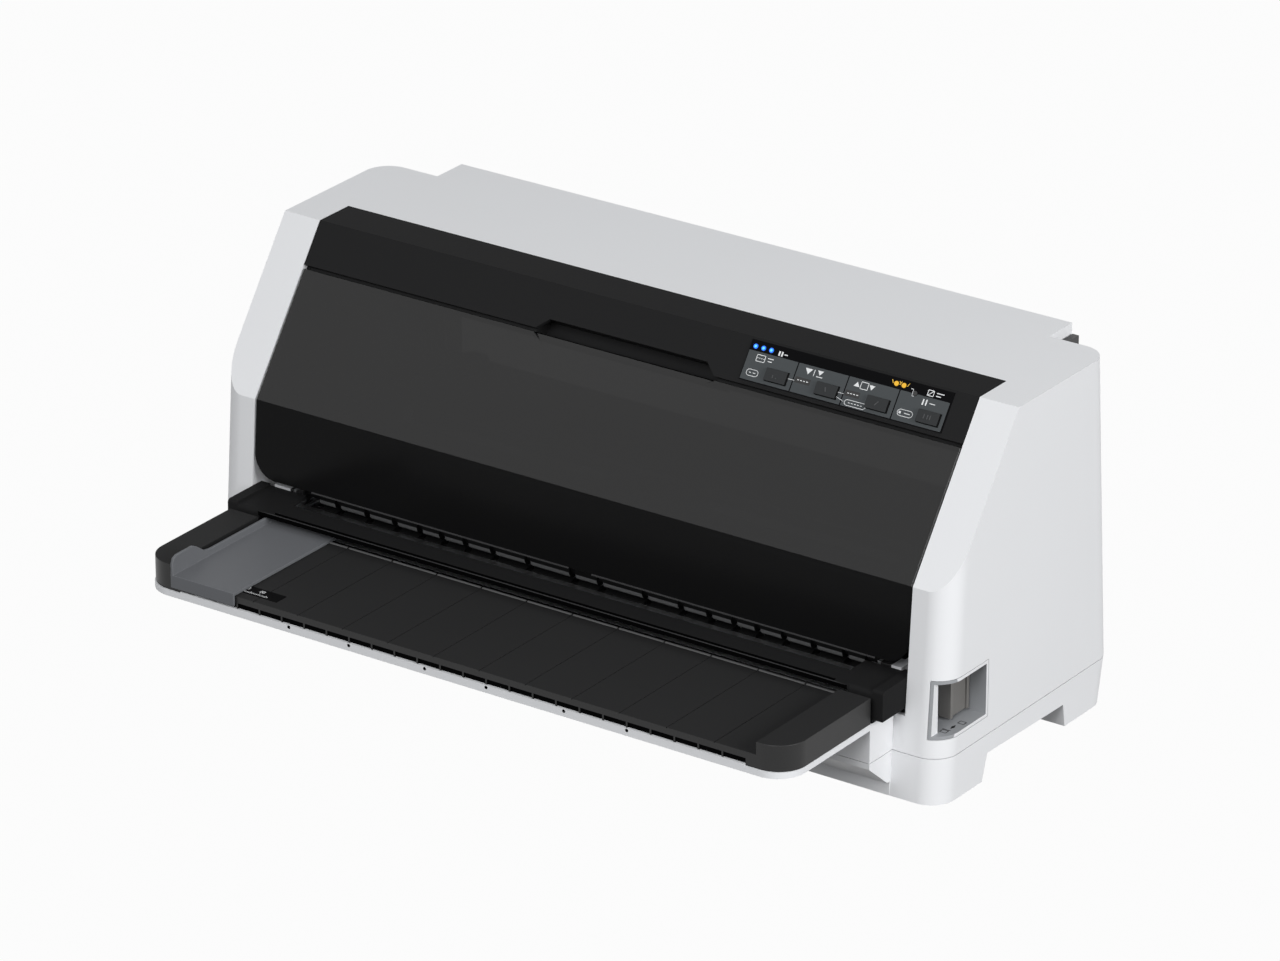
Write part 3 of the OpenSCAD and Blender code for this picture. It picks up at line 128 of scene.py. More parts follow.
floor_mesh = bpy.data.meshes.new("floor")
floor_corners = [(-9, -9, 0), (9, -9, 0), (9, 9, 0), (-9, 9, 0)]
floor_mesh.from_pydata(floor_corners, [], [(0, 1, 2, 3)])
floor = bpy.data.objects.new("floor", floor_mesh)
scene.collection.objects.link(floor)
floor_paint = bpy.data.materials.new("floor_paint")
floor_paint.use_nodes = True
tree = floor_paint.node_tree
matt = tree.nodes["Principled BSDF"]
matt.inputs["Base Color"].default_value = (0.06, 0.06, 0.061, 1)
matt.inputs["Roughness"].default_value = 0.9
matt.inputs["Specular IOR Level"].default_value = 0
glow = add(tree, "ShaderNodeEmission", (0, -1))
glow.inputs["Color"].default_value = (1, 1, 1, 1)
share = reckon(tree, (0, 2), "MULTIPLY", seen_rays(tree), white_share)
floor_out = tree.nodes["Material Output"]
mix_shaders(tree, share, matt.outputs[0], glow.outputs[0], floor_out.inputs["Surface"])
floor_mesh.materials.append(floor_paint)

eye = bpy.data.cameras.new("camera")
eye.sensor_width = 36
eye.lens = 205.88
eye.clip_end = 40
camera = bpy.data.objects.new("camera", eye)
scene.collection.objects.link(camera)
camera.location = (2.0809, -2.9394, 1.7061)
aim(camera, (-0.176013, 0.279722, -0.031715))
scene.camera = camera

# Upper case: one injection-moulded shell of white polystyrene with both cheeks and the hood
# over the paper entry at the back. Its skin has a very fine spark-eroded grain, and its outer
# edges are softly rounded.
mm = 0.001
to_mm = 1000
fold = math.radians(28)
case_top, crease_y = 206, 29
seam_high = 28.5
cheek_inside = 215.8
record = frame["record"]
home = {n: body for body, names in record["behaviour"]["bodies"].items() for n in names}


def grain_group():
    """Fine moulded grain with slow changes of tone, on the object's own coordinates"""
    group = bpy.data.node_groups.new("moulded_grain", "ShaderNodeTree")
    face = group.interface
    for name, kind, value in (
        ("Size", "NodeSocketFloat", 900),
        ("Spread", "NodeSocketFloat", 0.02),
        ("Tone", "NodeSocketColor", (0.8, 0.8, 0.8, 1)),
        ("Polish", "NodeSocketFloat", 0.5),
    ):
        face.new_socket(name, in_out="INPUT", socket_type=kind).default_value = value
    face.new_socket("Color", in_out="OUTPUT", socket_type="NodeSocketColor")
    face.new_socket("Roughness", in_out="OUTPUT", socket_type="NodeSocketFloat")
    face.new_socket("Height", in_out="OUTPUT", socket_type="NodeSocketFloat")
    given = add(group, "NodeGroupInput", (-4, 0)).outputs
    made = add(group, "NodeGroupOutput", (4, 0)).inputs
    spot = add(group, "ShaderNodeTexCoord", (-4, -2)).outputs["Object"]
    fine = add(group, "ShaderNodeTexNoise", (-2, 0), noise_dimensions="3D")
    fine.inputs["Detail"].default_value = 3
    slow = add(group, "ShaderNodeTexNoise", (-2, -2), noise_dimensions="3D")
    slow.inputs["Scale"].default_value = 9
    slow.inputs["Detail"].default_value = 4
    join(group, spot, fine.inputs["Vector"])
    join(group, spot, slow.inputs["Vector"])
    join(group, given["Size"], fine.inputs["Scale"])
    swing = reckon(group, (0, -2), "SUBTRACT", slow.outputs["Fac"], 0.5)
    speck = reckon(group, (0, 0), "SUBTRACT", fine.outputs["Fac"], 0.5)
    both = reckon(group, (1, -1), "MULTIPLY_ADD", speck, 0.5, swing)
    amount = reckon(group, (2, -1), "MULTIPLY_ADD", both, given["Spread"], 1)
    shade = add(group, "ShaderNodeVectorMath", (3, 1), operation="SCALE")
    join(group, given["Tone"], shade.inputs[0])
    join(group, amount, shade.inputs["Scale"])
    rough = reckon(group, (3, -1), "MULTIPLY", given["Polish"], amount)
    join(group, shade.outputs[0], made["Color"])
    join(group, rough, made["Roughness"])
    join(group, fine.outputs["Fac"], made["Height"])
    return group


moulded_grain = grain_group()
constant_inputs = {
    "specular": "Specular IOR Level", "metallic": "Metallic", "alpha": "Alpha", "ior": "IOR",
}


def moulded(name, colour, polish, size, depth, spread, **constants):
    """A plastic, rubber or metal skin with its own grain; constants go on the shader itself"""
    skin = bpy.data.materials.new(name)
    skin.use_nodes = True
    tree = skin.node_tree
    shader = tree.nodes["Principled BSDF"]
    grain = add(tree, "ShaderNodeGroup", (-3, 0), node_tree=moulded_grain)
    grain.inputs["Size"].default_value = size
    grain.inputs["Spread"].default_value = spread
    grain.inputs["Tone"].default_value = (*colour, 1)
    grain.inputs["Polish"].default_value = polish
    relief = add(tree, "ShaderNodeBump", (-1, -2))
    relief.inputs["Strength"].default_value = depth
    relief.inputs["Distance"].default_value = 0.0001
    join(tree, grain.outputs["Color"], shader.inputs["Base Color"])
    join(tree, grain.outputs["Roughness"], shader.inputs["Roughness"])
    join(tree, grain.outputs["Height"], relief.inputs["Height"])
    join(tree, relief.outputs["Normal"], shader.inputs["Normal"])
    for key, value in constants.items():
        shader.inputs[constant_inputs[key]].default_value = value
    return skin


def merged(node):
    """A closed copy of a CAD solid, with flat faces joined up"""
    mesh = frame["nodes"][node].data.copy()
    mesh.materials.clear()
    shape = bmesh.new()
    shape.from_mesh(mesh)
    bmesh.ops.remove_doubles(shape, verts=shape.verts, dist=2e-6)
    bmesh.ops.dissolve_limit(
        shape, angle_limit=math.radians(0.4), verts=shape.verts, edges=shape.edges
    )
    return mesh, shape


def put(piece_name, mesh, material, node=None, body=None, stands_for=()):
    """Makes the piece from its mesh, gives it its skin and lets it ride on its body"""
    mesh.name = piece_name
    piece = bpy.data.objects.new(piece_name, mesh)
    scene.collection.objects.link(piece)
    if material is not None:
        mesh.materials.append(material)
    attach(piece, body or home[node])
    if stands_for:
        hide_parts(*stands_for)
    return piece


def finished(node, material, edge, rule=None, segments=2):
    """A copy of a CAD solid with rounded edges; rule gives each edge its own radius in mm"""
    mesh, shape = merged(node)
    weight = shape.edges.layers.float.new("bevel_weight_edge")
    widest = edge
    radii = {}
    for line in shape.edges:
        if len(line.link_faces) != 2 or line.calc_face_angle(0) < fold:
            continue
        middle = (line.verts[0].co + line.verts[1].co) * to_mm / 2
        radii[line] = rule(middle, line) if rule else edge
        widest = max(widest, radii[line])
    for line, radius in radii.items():
        line[weight] = radius / max(widest, 1e-6)
    for line in shape.edges:
        line.smooth = line.calc_face_angle(0) < fold
    for face in shape.faces:
        face.smooth = True
    shape.to_mesh(mesh)
    shape.free()
    piece = put(f"{node}_finished", mesh, material, node, stands_for=(node,))
    if widest > 0:
        bevel = piece.modifiers.new("edges", "BEVEL")
        bevel.width = widest * mm
        bevel.segments = segments
        bevel.limit_method = "WEIGHT"
        bevel.harden_normals = True
        bevel.miter_outer = "MITER_SHARP"
    return piece


def case_edge(at, line):
    """Crisp at the seam and in the mouth, softer round the lever's recess and outside"""
    if at.z < seam_high:
        return 0.3
    in_recess = abs(at.x) > 226 and 34 < at.z < 73 and at.y < 10
    if in_recess:
        run = (line.verts[0].co - line.verts[1].co).normalized()
        return 3.2 if abs(run.x) > 0.9 and at.y > 4.5 else 1.3
    in_mouth = abs(at.x) < 214 and at.y < 80 and at.z < 200
    if in_mouth:
        return 0.4
    if abs(abs(at.x) - cheek_inside) < 0.5:
        return 0.7
    if abs(at.x) > 239 or at.z > case_top - 0.5 or at.y > 118:
        return 1.8
    return 0.5


case_white = moulded("case_white_grain", (0.81, 0.818, 0.835), 0.46, 1500, 0.12, 0.03)
finished("upper_case", case_white, 0.5, case_edge, 3)

# Lower case: the same white plastic, a shallow pan with a skirt along each side and a foot at
# each corner. It meets the upper case in a fine shadow line, and a lip closes its front.
skirt_half, skirt_front, skirt_back = 206.2, -41.6, -37.8
skirt_low, skirt_high = 1.5, 9.8


def base_edge(at, line):
    if at.z > 26:
        return 0.3
    return 1.2 if abs(at.x) > 206 or at.y < -55 else 0.6


def prisms(piece_name, outlines, place, low, high, skin, body):
    """Thin plates of the given outlines; place turns (u, v, out) into a point"""
    shape = bmesh.new()
    for outline in outlines:
        under = [shape.verts.new(place(u, v, low)) for u, v in outline]
        over = [shape.verts.new(place(u, v, high)) for u, v in outline]
        shape.faces.new(over)
        shape.faces.new(under[::-1])
        for i in range(len(outline)):
            k = (i + 1) % len(outline)
            shape.faces.new((under[i], under[k], over[k], over[i]))
    bmesh.ops.recalc_face_normals(shape, faces=shape.faces)
    mesh = bpy.data.meshes.new(piece_name)
    shape.to_mesh(mesh)
    shape.free()
    piece = put(piece_name, mesh, skin, body=body)
    return piece


def millimetres(x, y, z):
    """A point or a size, given in mm"""
    return Vector((x, y, z)) * mm


finished("lower_case", case_white, 0.6, base_edge, 3)
skirt = [
    (-skirt_half, skirt_front), (skirt_half, skirt_front),
    (skirt_half, skirt_back), (-skirt_half, skirt_back),
]
prisms(
    "front_skirt", [skirt], millimetres, skirt_low, skirt_high, case_white, "case"
)

# Rubber feet: four soft moulded discs of black rubber, each pressed into the pocket of a
# corner foot, so that the printer stays where it stands.
foot_rubber = moulded("foot_rubber", (0.028, 0.028, 0.029), 0.75, 600, 0.5, 0.2)
finished("rubber_feet", foot_rubber, 0.8)

# Control panel: a glossy black moulding with the finger pocket, clipped between the cheeks.
# Its top face gets a darker, less glossy copy of the black as painted shade. Three fine ribs
# run below the key label.
slope_low, slope_run = 120.2, 61.6
slant = math.atan2(case_top - slope_low, slope_run)
across, fall = math.cos(slant), math.sin(slant)


def on_front(x, s, out=0.0):
    """A point on the slanted front: s mm down from the crease and out mm above its surface"""
    y = crease_y - s * across - out * fall
    return millimetres(x, y, case_top - s * fall + out * across)


def bar_rows():
    """Node tree: a row of equal bars, from a start, by a step, each turned and sized alike"""
    group = bpy.data.node_groups.new("bar_rows", "GeometryNodeTree")
    face = group.interface
    ids = {}
    for name, kind, value in (
        ("Start", "NodeSocketVector", (0, 0, 0)),
        ("Step", "NodeSocketVector", (0.01, 0, 0)),
        ("Count", "NodeSocketInt", 2),
        ("Bar", "NodeSocketVector", (0.001, 0.001, 0.001)),
        ("Turn", "NodeSocketVector", (0, 0, 0)),
        ("Skin", "NodeSocketMaterial", None),
    ):
        new = face.new_socket(name, in_out="INPUT", socket_type=kind)
        if value is not None:
            new.default_value = value
        ids[name] = new.identifier
    face.new_socket("Geometry", in_out="OUTPUT", socket_type="NodeSocketGeometry")
    given = add(group, "NodeGroupInput", (-4, 0)).outputs
    made = add(group, "NodeGroupOutput", (4, 0)).inputs
    row = add(group, "GeometryNodeMeshLine", (-2, 1), mode="OFFSET")
    bar = add(group, "GeometryNodeMeshCube", (-2, -1))
    place = add(group, "GeometryNodeInstanceOnPoints", (0, 0))
    real = add(group, "GeometryNodeRealizeInstances", (1, 0))
    coat = add(group, "GeometryNodeSetMaterial", (2, 0))
    join(group, given["Start"], row.inputs["Start Location"])
    join(group, given["Step"], row.inputs["Offset"])
    join(group, given["Count"], row.inputs["Count"])
    join(group, given["Bar"], bar.inputs["Size"])
    join(group, row.outputs["Mesh"], place.inputs["Points"])
    join(group, bar.outputs["Mesh"], place.inputs["Instance"])
    join(group, given["Turn"], place.inputs["Rotation"])
    join(group, place.outputs["Instances"], real.inputs["Geometry"])
    join(group, real.outputs["Geometry"], coat.inputs["Geometry"])
    join(group, given["Skin"], coat.inputs["Material"])
    join(group, coat.outputs["Geometry"], made["Geometry"])
    return group, ids


rows, row_ids = bar_rows()


def bar_row(piece_name, skin, body, start, step, count, bar, turn=(0, 0, 0)):
    """Grows a row of bars and keeps it as one plain mesh that rides on a body"""
    values = {"Start": start, "Step": step, "Count": count, "Bar": bar, "Turn": turn, "Skin": skin}
    seed = bpy.data.objects.new("seed", bpy.data.meshes.new("seed"))
    scene.collection.objects.link(seed)
    grow = seed.modifiers.new("grow", "NODES")
    grow.node_group = rows
    for name, value in values.items():
        grow[row_ids[name]] = value
    bpy.context.view_layer.update()
    eyes = bpy.context.evaluated_depsgraph_get()
    mesh = bpy.data.meshes.new_from_object(seed.evaluated_get(eyes))
    bpy.data.objects.remove(seed)
    piece = put(piece_name, mesh, None, body=body)
    return piece


def skins_by_place(piece, choices):
    """Gives each face the first skin whose test its middle, in mm, and its normal pass"""
    mesh = piece.data
    for skin, _ in choices:
        mesh.materials.append(skin)
    first = len(mesh.materials) - len(choices)
    for face in mesh.polygons:
        at = face.center * to_mm
        for k, (_, test) in enumerate(choices):
            if test(at, face.normal):
                face.material_index = first + k
                break


def panel_edge(at, line):
    return 0.5 if at.z > 183 else 0.3


panel_black = moulded(
    "panel_black_gloss", (0.018, 0.018, 0.0185), 0.34, 1300, 0.12, 0.12, specular=0.03
)
panel_top_shade = moulded(
    "panel_black_top_shade", (0.012, 0.012, 0.0125), 0.34, 1300, 0.12, 0.12, specular=0.01
)
panel = finished("control_panel", panel_black, 0.4, panel_edge)
skins_by_place(panel, [(panel_top_shade, lambda p, n: p.z > case_top - 0.3)])
rib_step = on_front(0, 25) - on_front(0, 24.3)
bar_row(
    "panel_ribs", panel_black, "case", on_front(138.5, 24.35, 0.02), rib_step,
    3, (0.125, 0.0003, 0.0003), (slant, 0, 0),
)

# Key label: a printed film glued to the panel, black along its upper strip and grey in four
# fields below it, with a window for each key and lamp. The print is plain signs only.
label_left, label_right, field = 73.7, 201.3, 31.9
strip_end, field_end = 7.3, 23.5
right_margin = 0.9
film_face = 0.39


def blend(tree, place, share, first, second):
    """Mixes two colours; each is a plain colour or another node's output"""
    node = add(tree, "ShaderNodeMix", place, data_type="RGBA")
    colours = [socket for socket in node.inputs if socket.type == "RGBA"]
    for socket, term in zip(colours, (first, second)):
        if isinstance(term, tuple):
            socket.default_value = (*term, 1)
        else:
            join(tree, term, socket)
    join(tree, share, node.inputs["Factor"])
    return next(socket for socket in node.outputs if socket.type == "RGBA")


def masked(skin, inside, dark):
    """Keeps the skin's own colour inside the mask and paints the rest dark"""
    tree = skin.node_tree
    tint = blend(tree, (-1, 2), inside, dark, tree.nodes["Group"].outputs["Color"])
    join(tree, tint, tree.nodes["Principled BSDF"].inputs["Base Color"])


film = moulded("label_film", (0.076, 0.083, 0.087), 0.42, 2600, 0, 0.12, specular=0.03)
tree = film.node_tree
spot = add(tree, "ShaderNodeTexCoord", (-8, 0)).outputs["Object"]
split = add(tree, "ShaderNodeSeparateXYZ", (-7, 1))
join(tree, spot, split.inputs[0])
along = split.outputs["X"]
down = add(tree, "ShaderNodeVectorMath", (-7, -1), operation="DOT_PRODUCT")
down.inputs[1].default_value = (0, -across, -fall)
join(tree, spot, down.inputs[0])
crease = (crease_y * across + case_top * fall) * mm
depth = reckon(tree, (-6, -1), "ADD", down.outputs["Value"], crease)
part = reckon(tree, (-6, 1), "SUBTRACT", along, label_left * mm)
cell = reckon(tree, (-4, 1), "FRACT", reckon(tree, (-5, 1), "DIVIDE", part, field * mm))
inside = reckon(tree, (-5, -1), "GREATER_THAN", depth, strip_end * mm)
for i, (operation, source, limit) in enumerate((
    ("LESS_THAN", depth, field_end * mm),
    ("LESS_THAN", along, (label_right - right_margin) * mm),
    ("GREATER_THAN", cell, 0.011),
    ("LESS_THAN", cell, 0.989),
)):
    mask = reckon(tree, (-3, -i), operation, source, limit)
    inside = reckon(tree, (-2, -i), "MULTIPLY", inside, mask)
masked(film, inside, (0.003, 0.003, 0.0035))
finished("key_label", film, 0)


def plate(x, s, w, h):
    """A rectangle of width w and height h about its middle"""
    left, right, low, high = x - w / 2, x + w / 2, s - h / 2, s + h / 2
    return [(left, low), (right, low), (right, high), (left, high)]


def plates(x, s, step, count, w, h):
    return [plate(x + step * i, s, w, h) for i in range(count)]


def frame_of(x, s, w, h, pen):
    """A rectangular outline as four plates"""
    return [
        plate(x, s - h / 2, w, pen), plate(x, s + h / 2, w, pen),
        plate(x - w / 2, s, pen, h), plate(x + w / 2, s, pen, h),
    ]


def pill_of(x, s, w, h, pen=0.3, steps=8):
    """A pill outline as short quads"""
    ring = []
    for side, start in ((1, -90), (-1, 90)):
        for i in range(steps + 1):
            a = math.radians(start + 180 * i / steps)
            ring.append((x + side * (w - h) / 2 + h / 2 * math.cos(a), s + h / 2 * math.sin(a)))
    quads = []
    for i, p in enumerate(ring):
        q = ring[(i + 1) % len(ring)]
        d = math.hypot(q[0] - p[0], q[1] - p[1])
        nx, ny = (q[1] - p[1]) / d * pen, (p[0] - q[0]) / d * pen
        quads.append([p, q, (q[0] - nx, q[1] - ny), (p[0] - nx, p[1] - ny)])
    return quads


def arrow(x, s, size, up=True):
    d = -size if up else size
    return [(x - size * 0.7, s - d / 2), (x + size * 0.7, s - d / 2), (x, s + d / 2)]


def stroke(x0, s0, x1, s1, pen=0.25):
    """A straight line of width pen"""
    d = math.hypot(x1 - x0, s1 - s0)
    nx, ny = (s1 - s0) / d * pen / 2, (x0 - x1) / d * pen / 2
    return [(x0 + nx, s0 + ny), (x1 + nx, s1 + ny), (x1 - nx, s1 - ny), (x0 - nx, s0 - ny)]


print_white = moulded("label_print_white", (0.80, 0.81, 0.82), 0.6, 2200, 0.1, 0.1)
print_amber = moulded("label_print_amber", (0.85, 0.52, 0.06), 0.6, 2200, 0.1, 0.1)
print_black = moulded("label_print_black", (0.004, 0.004, 0.004), 0.5, 2200, 0.1, 0.3)
signs = [
    # Tear-off: a sheet with a dashed line, and a pill below it
    *frame_of(82.5, 10.6, 5.2, 3.6, 0.35), *plates(80.6, 10.6, 1.3, 4, 0.7, 0.35),
    plate(88.5, 9.6, 3.6, 0.45), plate(88.5, 11.2, 2.6, 0.45),
    *pill_of(80.4, 19.2, 7.6, 3.8), plate(79, 19.2, 1.2, 0.4), plate(81.6, 19.2, 1.6, 0.4),
    # Line feed and form feed: an arrow down, and one down to a bar
    arrow(113, 10.6, 3.2, False), plate(116.6, 10.6, 0.35, 3.4),
    arrow(120.2, 10, 2.6, False), plate(120.2, 12.2, 3.8, 0.45),
    # Load and eject: a sheet with an arrow into it and one out of it, and a pill below
    *frame_of(148.2, 10.4, 4.4, 3.8, 0.35), arrow(143.6, 10.4, 2.6),
    arrow(152.8, 10.4, 2.6, False),
    *pill_of(146.4, 21.2, 13.4, 3.4), *plates(142.6, 21.2, 1.9, 5, 1.1, 0.4),
    # Pause: two bars; a pill with a dot below, and the sheet sign of the paper lamp above
    plate(184.8, 10.4, 0.8, 3.2), plate(186.8, 10.4, 0.8, 3.2), plate(190.6, 10.4, 3.4, 0.45),
    *pill_of(176.8, 18.8, 9.6, 3.8), plate(173.6, 18.8, 1.3, 1.3), plate(178, 18.8, 3.6, 0.4),
    *frame_of(187.6, 4.9, 3.6, 3.0, 0.4), stroke(186.2, 6.2, 189, 3.6, 0.4),
    plate(193.4, 4.1, 4.6, 0.5), plate(192.6, 5.7, 3.0, 0.5),
    # The line from the amber lamps to the pause sign, and the bars beside the blue lamps
    stroke(175.4, 5.2, 177, 5.2), stroke(177, 5.2, 177.2, 8.8), stroke(177.2, 8.8, 178.4, 8.8),
    plate(92.4, 5.4, 1.0, 2.6), plate(94.2, 5.4, 1.0, 2.6), plate(96.6, 5.4, 2.2, 0.5),
    # Lines from the tabs and the pill to their keys
    stroke(101.6, 17.2, 106.4, 17.2), stroke(133.6, 17.2, 137.6, 17.2),
    stroke(133, 19.4, 139.2, 21.2),
]
tabs = [plate(111.4, 16.4, 9.6, 3.3), plate(142.8, 16.2, 9.0, 3.3)]
tab_marks = plates(108.6, 16.4, 1.9, 4, 1.1, 0.45) + plates(140.2, 16.2, 1.9, 4, 1.1, 0.45)
rays = [
    stroke(x + 4.7 * k, 4.8, x + lean + 4.7 * k, 2.9, 0.4)
    for x, lean in ((164, -1.1), (168, 1.1)) for k in (0, 1)
]
for name, marks, low, high, ink in (
    ("signs", signs, film_face, 0.45, print_white),
    ("tabs", tabs, film_face, 0.43, print_black),
    ("tab_marks", tab_marks, 0.42, 0.47, print_white),
    ("amber_signs", rays, film_face, 0.45, print_amber),
):
    prisms(f"label_{name}", marks, on_front, low, high, ink, "case")

# Four keys: dark grey moulded caps that stand in the label's windows, each with raised marks
# that a finger can tell apart. Their sides are painted near-black as shade.
key_grey = moulded("key_grey", (0.038, 0.040, 0.0415), 0.42, 1400, 0.2, 0.08, specular=0.06)
key_mark = moulded("key_mark", (0.085, 0.087, 0.09), 0.42, 1400, 0.2, 0.08, specular=0.06)
key_flank_shade = moulded("key_flank_shade", (0.008, 0.008, 0.0082), 0.5, 1400, 0.2, 0.08, specular=0.06)
key_inset, key_down = 10, 17.9
key_marks = {
    "font_key": [stroke(-1.6, -0.2, -1.6, 1.4, 0.55), plate(0.6, 1.2, 0.6, 0.6)],
    "feed_key": [stroke(-0.6, -1.2, 0.2, 1.2, 0.6)],
    "load_key": [stroke(0.9, -1.3, -0.9, 1.3, 0.6)],
    "pause_key": [plate(-2.2, 0, 0.6, 2.4), plate(0, 0, 0.6, 2.4), plate(1.6, 0, 0.6, 2.4)],
}
for i, (key, marks) in enumerate(key_marks.items()):
    cap = finished(key, key_grey, 0.55, segments=3)
    skins_by_place(cap, [(key_flank_shade, lambda p, n: n.z * across - n.y * fall <= 0.9)])
    middle = label_left + field * (i + 1) - key_inset
    moved = [[(u + middle, v + key_down) for u, v in mark] for mark in marks]
    prisms(f"{key}_marks", moved, on_front, 1.95, 2.22, key_mark, key)

# Indicator lamps: clear light pipes between the panel board and the label, three of them lit
# blue and two amber.
blue_first, blue_step, blue_down = 3.4, 5, 4.9


def lit(name, colour, strength):
    """A light pipe: dark clear plastic whose face glows, with a little of its own grain"""
    skin = moulded(name, [c * 0.3 for c in colour], 0.2, 3000, 0.1, 0.3, ior=1.5)
    tree = skin.node_tree
    shader = tree.nodes["Principled BSDF"]
    bright = tuple(min(1, c * 1.3 + 0.04) for c in colour)
    light = blend(tree, (-1, 3), tree.nodes["Group"].outputs["Height"], colour, bright)
    join(tree, light, shader.inputs["Emission Color"])
    shader.inputs["Emission Strength"].default_value = strength
    return skin


def disc(x, s, r, steps=16):
    turns = [i * math.tau / steps for i in range(steps)]
    return [(x + r * math.cos(turn), s + r * math.sin(turn)) for turn in turns]


lamp_blue = lit("lamp_blue", (0.004, 0.13, 0.9), 1.15)
lamp_amber = lit("lamp_amber", (0.8, 0.42, 0.008), 0.75)
lamp_dark = moulded("lamp_unlit", (0.02, 0.02, 0.021), 0.3, 2000, 0.1, 0.2)
lamps = finished("indicator_lights", lamp_dark, 0)
skins_by_place(lamps, [
    (lamp_blue, lambda p, n: p.x < 95),
    (lamp_amber, lambda p, n: 160 < p.x < 173),
])
core_blue = lit("lamp_blue_core", (0.10, 0.62, 1.0), 1.0)
cores = [disc(label_left + blue_first + blue_step * i, blue_down, 0.75) for i in range(3)]
prisms("lamp_cores", cores, on_front, 0.62, 0.72, core_blue, "case")

# Front cover: one moulding of smoked, nearly black acrylic that tips forward on two pins. A
# dim trace of what lies behind it shows through. Below the bend it gets a darker, less glossy
# copy of the smoke as painted shade. Its lower edge carries a row of tiny beads, painted light
# grey as a dotted highlight.
cover_bend = 119.5
bead_y, bead_z = -35.9, 75.5
cover_smoke = moulded(
    "cover_smoke", (0.004, 0.004, 0.0042), 0.12, 1200, 0.03, 0.1, alpha=0.93, ior=1.48
)
cover_low_shade = moulded(
    "cover_smoke_low_shade", (0.007, 0.007, 0.0072), 0.2, 1200, 0.03, 0.1, alpha=0.96, specular=0.05
)
bead_highlight = moulded("cover_bead_highlight", (0.07, 0.07, 0.072), 0.4, 2000, 0.1, 0.2)


def cover_edge(at, line):
    return 0.8 if at.z > 150 else 0.5


cover = finished("front_cover", cover_smoke, 0.5, cover_edge, 3)
skins_by_place(cover, [(cover_low_shade, lambda p, n: p.z < cover_bend)])
# The beads' light grey is a painted highlight along the cover's lower edge.
for name, left, count in (("left", -174.5, 170), ("right", 14.0, 178)):
    bar_row(
        f"cover_beads_{name}", bead_highlight, home["front_cover"],
        millimetres(left, bead_y, bead_z), (0.00102, 0, 0), count, (0.0006, 0.0008, 0.0006),
    )

# Hinge bearings: moulded brackets, one at each end of the paper slot, that hold the cover's
# pins. Their outer ends are white, and what reaches inwards from there is painted black as
# the shade of the slot.
right_end, left_end = 0.2005, -0.1955
bracket = moulded("bracket_white_and_shade", (0.62, 0.63, 0.65), 0.4, 1300, 0.15, 0.05)
tree = bracket.node_tree
split = add(tree, "ShaderNodeSeparateXYZ", (-4, 2))
join(tree, add(tree, "ShaderNodeTexCoord", (-5, 2)).outputs["Object"], split.inputs[0])
# Outside these ends the white shows; inside them the brackets are painted black as shade.
on_right = reckon(tree, (-3, 3), "GREATER_THAN", split.outputs["X"], right_end)
on_left = reckon(tree, (-3, 2), "LESS_THAN", split.outputs["X"], left_end)
masked(bracket, reckon(tree, (-2, 2), "MAXIMUM", on_right, on_left), (0.006, 0.006, 0.0062))
finished("hinge_bearings", bracket, 0.4)

# Side trims: black moulded fillers that close the gap between the cover and the cheek on
# each side.
trim_black = moulded(
    "trim_black", (0.016, 0.016, 0.0164), 0.42, 1300, 0.2, 0.1, specular=0.012
)
finished("side_trims", trim_black, 0.4)

# Paper table: a black moulded tray top with a ledge along each side and a sunk plate with fine
# grooves, its front edge cut into narrow slots above the white lip. The slots and the strip
# behind the rib are painted near-black as shade, the rib's top is painted light grey as a
# highlight, and the side and front faces get a glossier copy of the black as a painted sheen.
table_front = -139
slot_half = 190
table_black = moulded(
    "table_black", (0.027, 0.027, 0.0274), 0.44, 1500, 0.2, 0.12, specular=0.012
)
# A glossier copy of the black for the sides and front faces, as a painted sheen.
table_side_sheen = moulded(
    "table_side_sheen", (0.012, 0.012, 0.0122), 0.40, 1500, 0.2, 0.1, specular=0.35
)
slot_shade = moulded(
    "slot_shade", (0.0015, 0.0015, 0.0016), 0.6, 1500, 0.2, 0.1, specular=0.01
)
rib_highlight = moulded("rib_highlight", (0.15, 0.15, 0.152), 0.45, 1500, 0.2, 0.1, specular=0.05)


def table_edge(at, line):
    """Nearly sharp in the front slots, round on the ledges and the front lip"""
    if abs(at.x) < 192 and at.y < table_front:
        return 0.1 if at.z < 56.5 else 0.5
    if abs(at.x) > 195 or at.y < table_front:
        return 1.6 if at.z > 66 or at.z < 52.5 else 1.2
    return 0.25


def in_front_slot(p):
    return abs(p.x) < slot_half and -139.9 < p.y < table_front and 52.5 < p.z < 56.2


def in_groove(p):
    return abs(p.x) < 189 and -138 < p.y < -56.5 and 58.9 < p.z < 59.6


table = finished("paper_table", table_black, 0.25, table_edge, 3)
skins_by_place(table, [
    (slot_shade, lambda p, n: in_front_slot(p)),
    # The rib's top is painted light grey as a highlight; behind it the strip is painted shade.
    (rib_highlight, lambda p, n: p.y > -56.3 and 59.8 < p.z < 60.4),
    (slot_shade, lambda p, n: p.y > -56 and p.z < 59.8),
    (table_black, lambda p, n: n.z > 0.9 or in_groove(p)),
    (table_side_sheen, lambda p, n: True),
])

# Table tray: the white moulded lower shell of the table, with its lip and a row of small holes
# along the front, painted near-black as shade.
tray_white = moulded("tray_white", (0.78, 0.79, 0.81), 0.42, 1500, 0.12, 0.03)


def tray_edge(at, line):
    if 50 < at.z < 52.5 and at.y < table_front and abs(at.x) < slot_half:
        return 0.05
    if at.z < 49 and (abs(at.x) > 205 or at.y < -138):
        return 1.2
    return 0.3


def in_lip_hole(p):
    return abs(p.x) < slot_half and -140.9 < p.y < -139.4 and 50 < p.z < 52.5


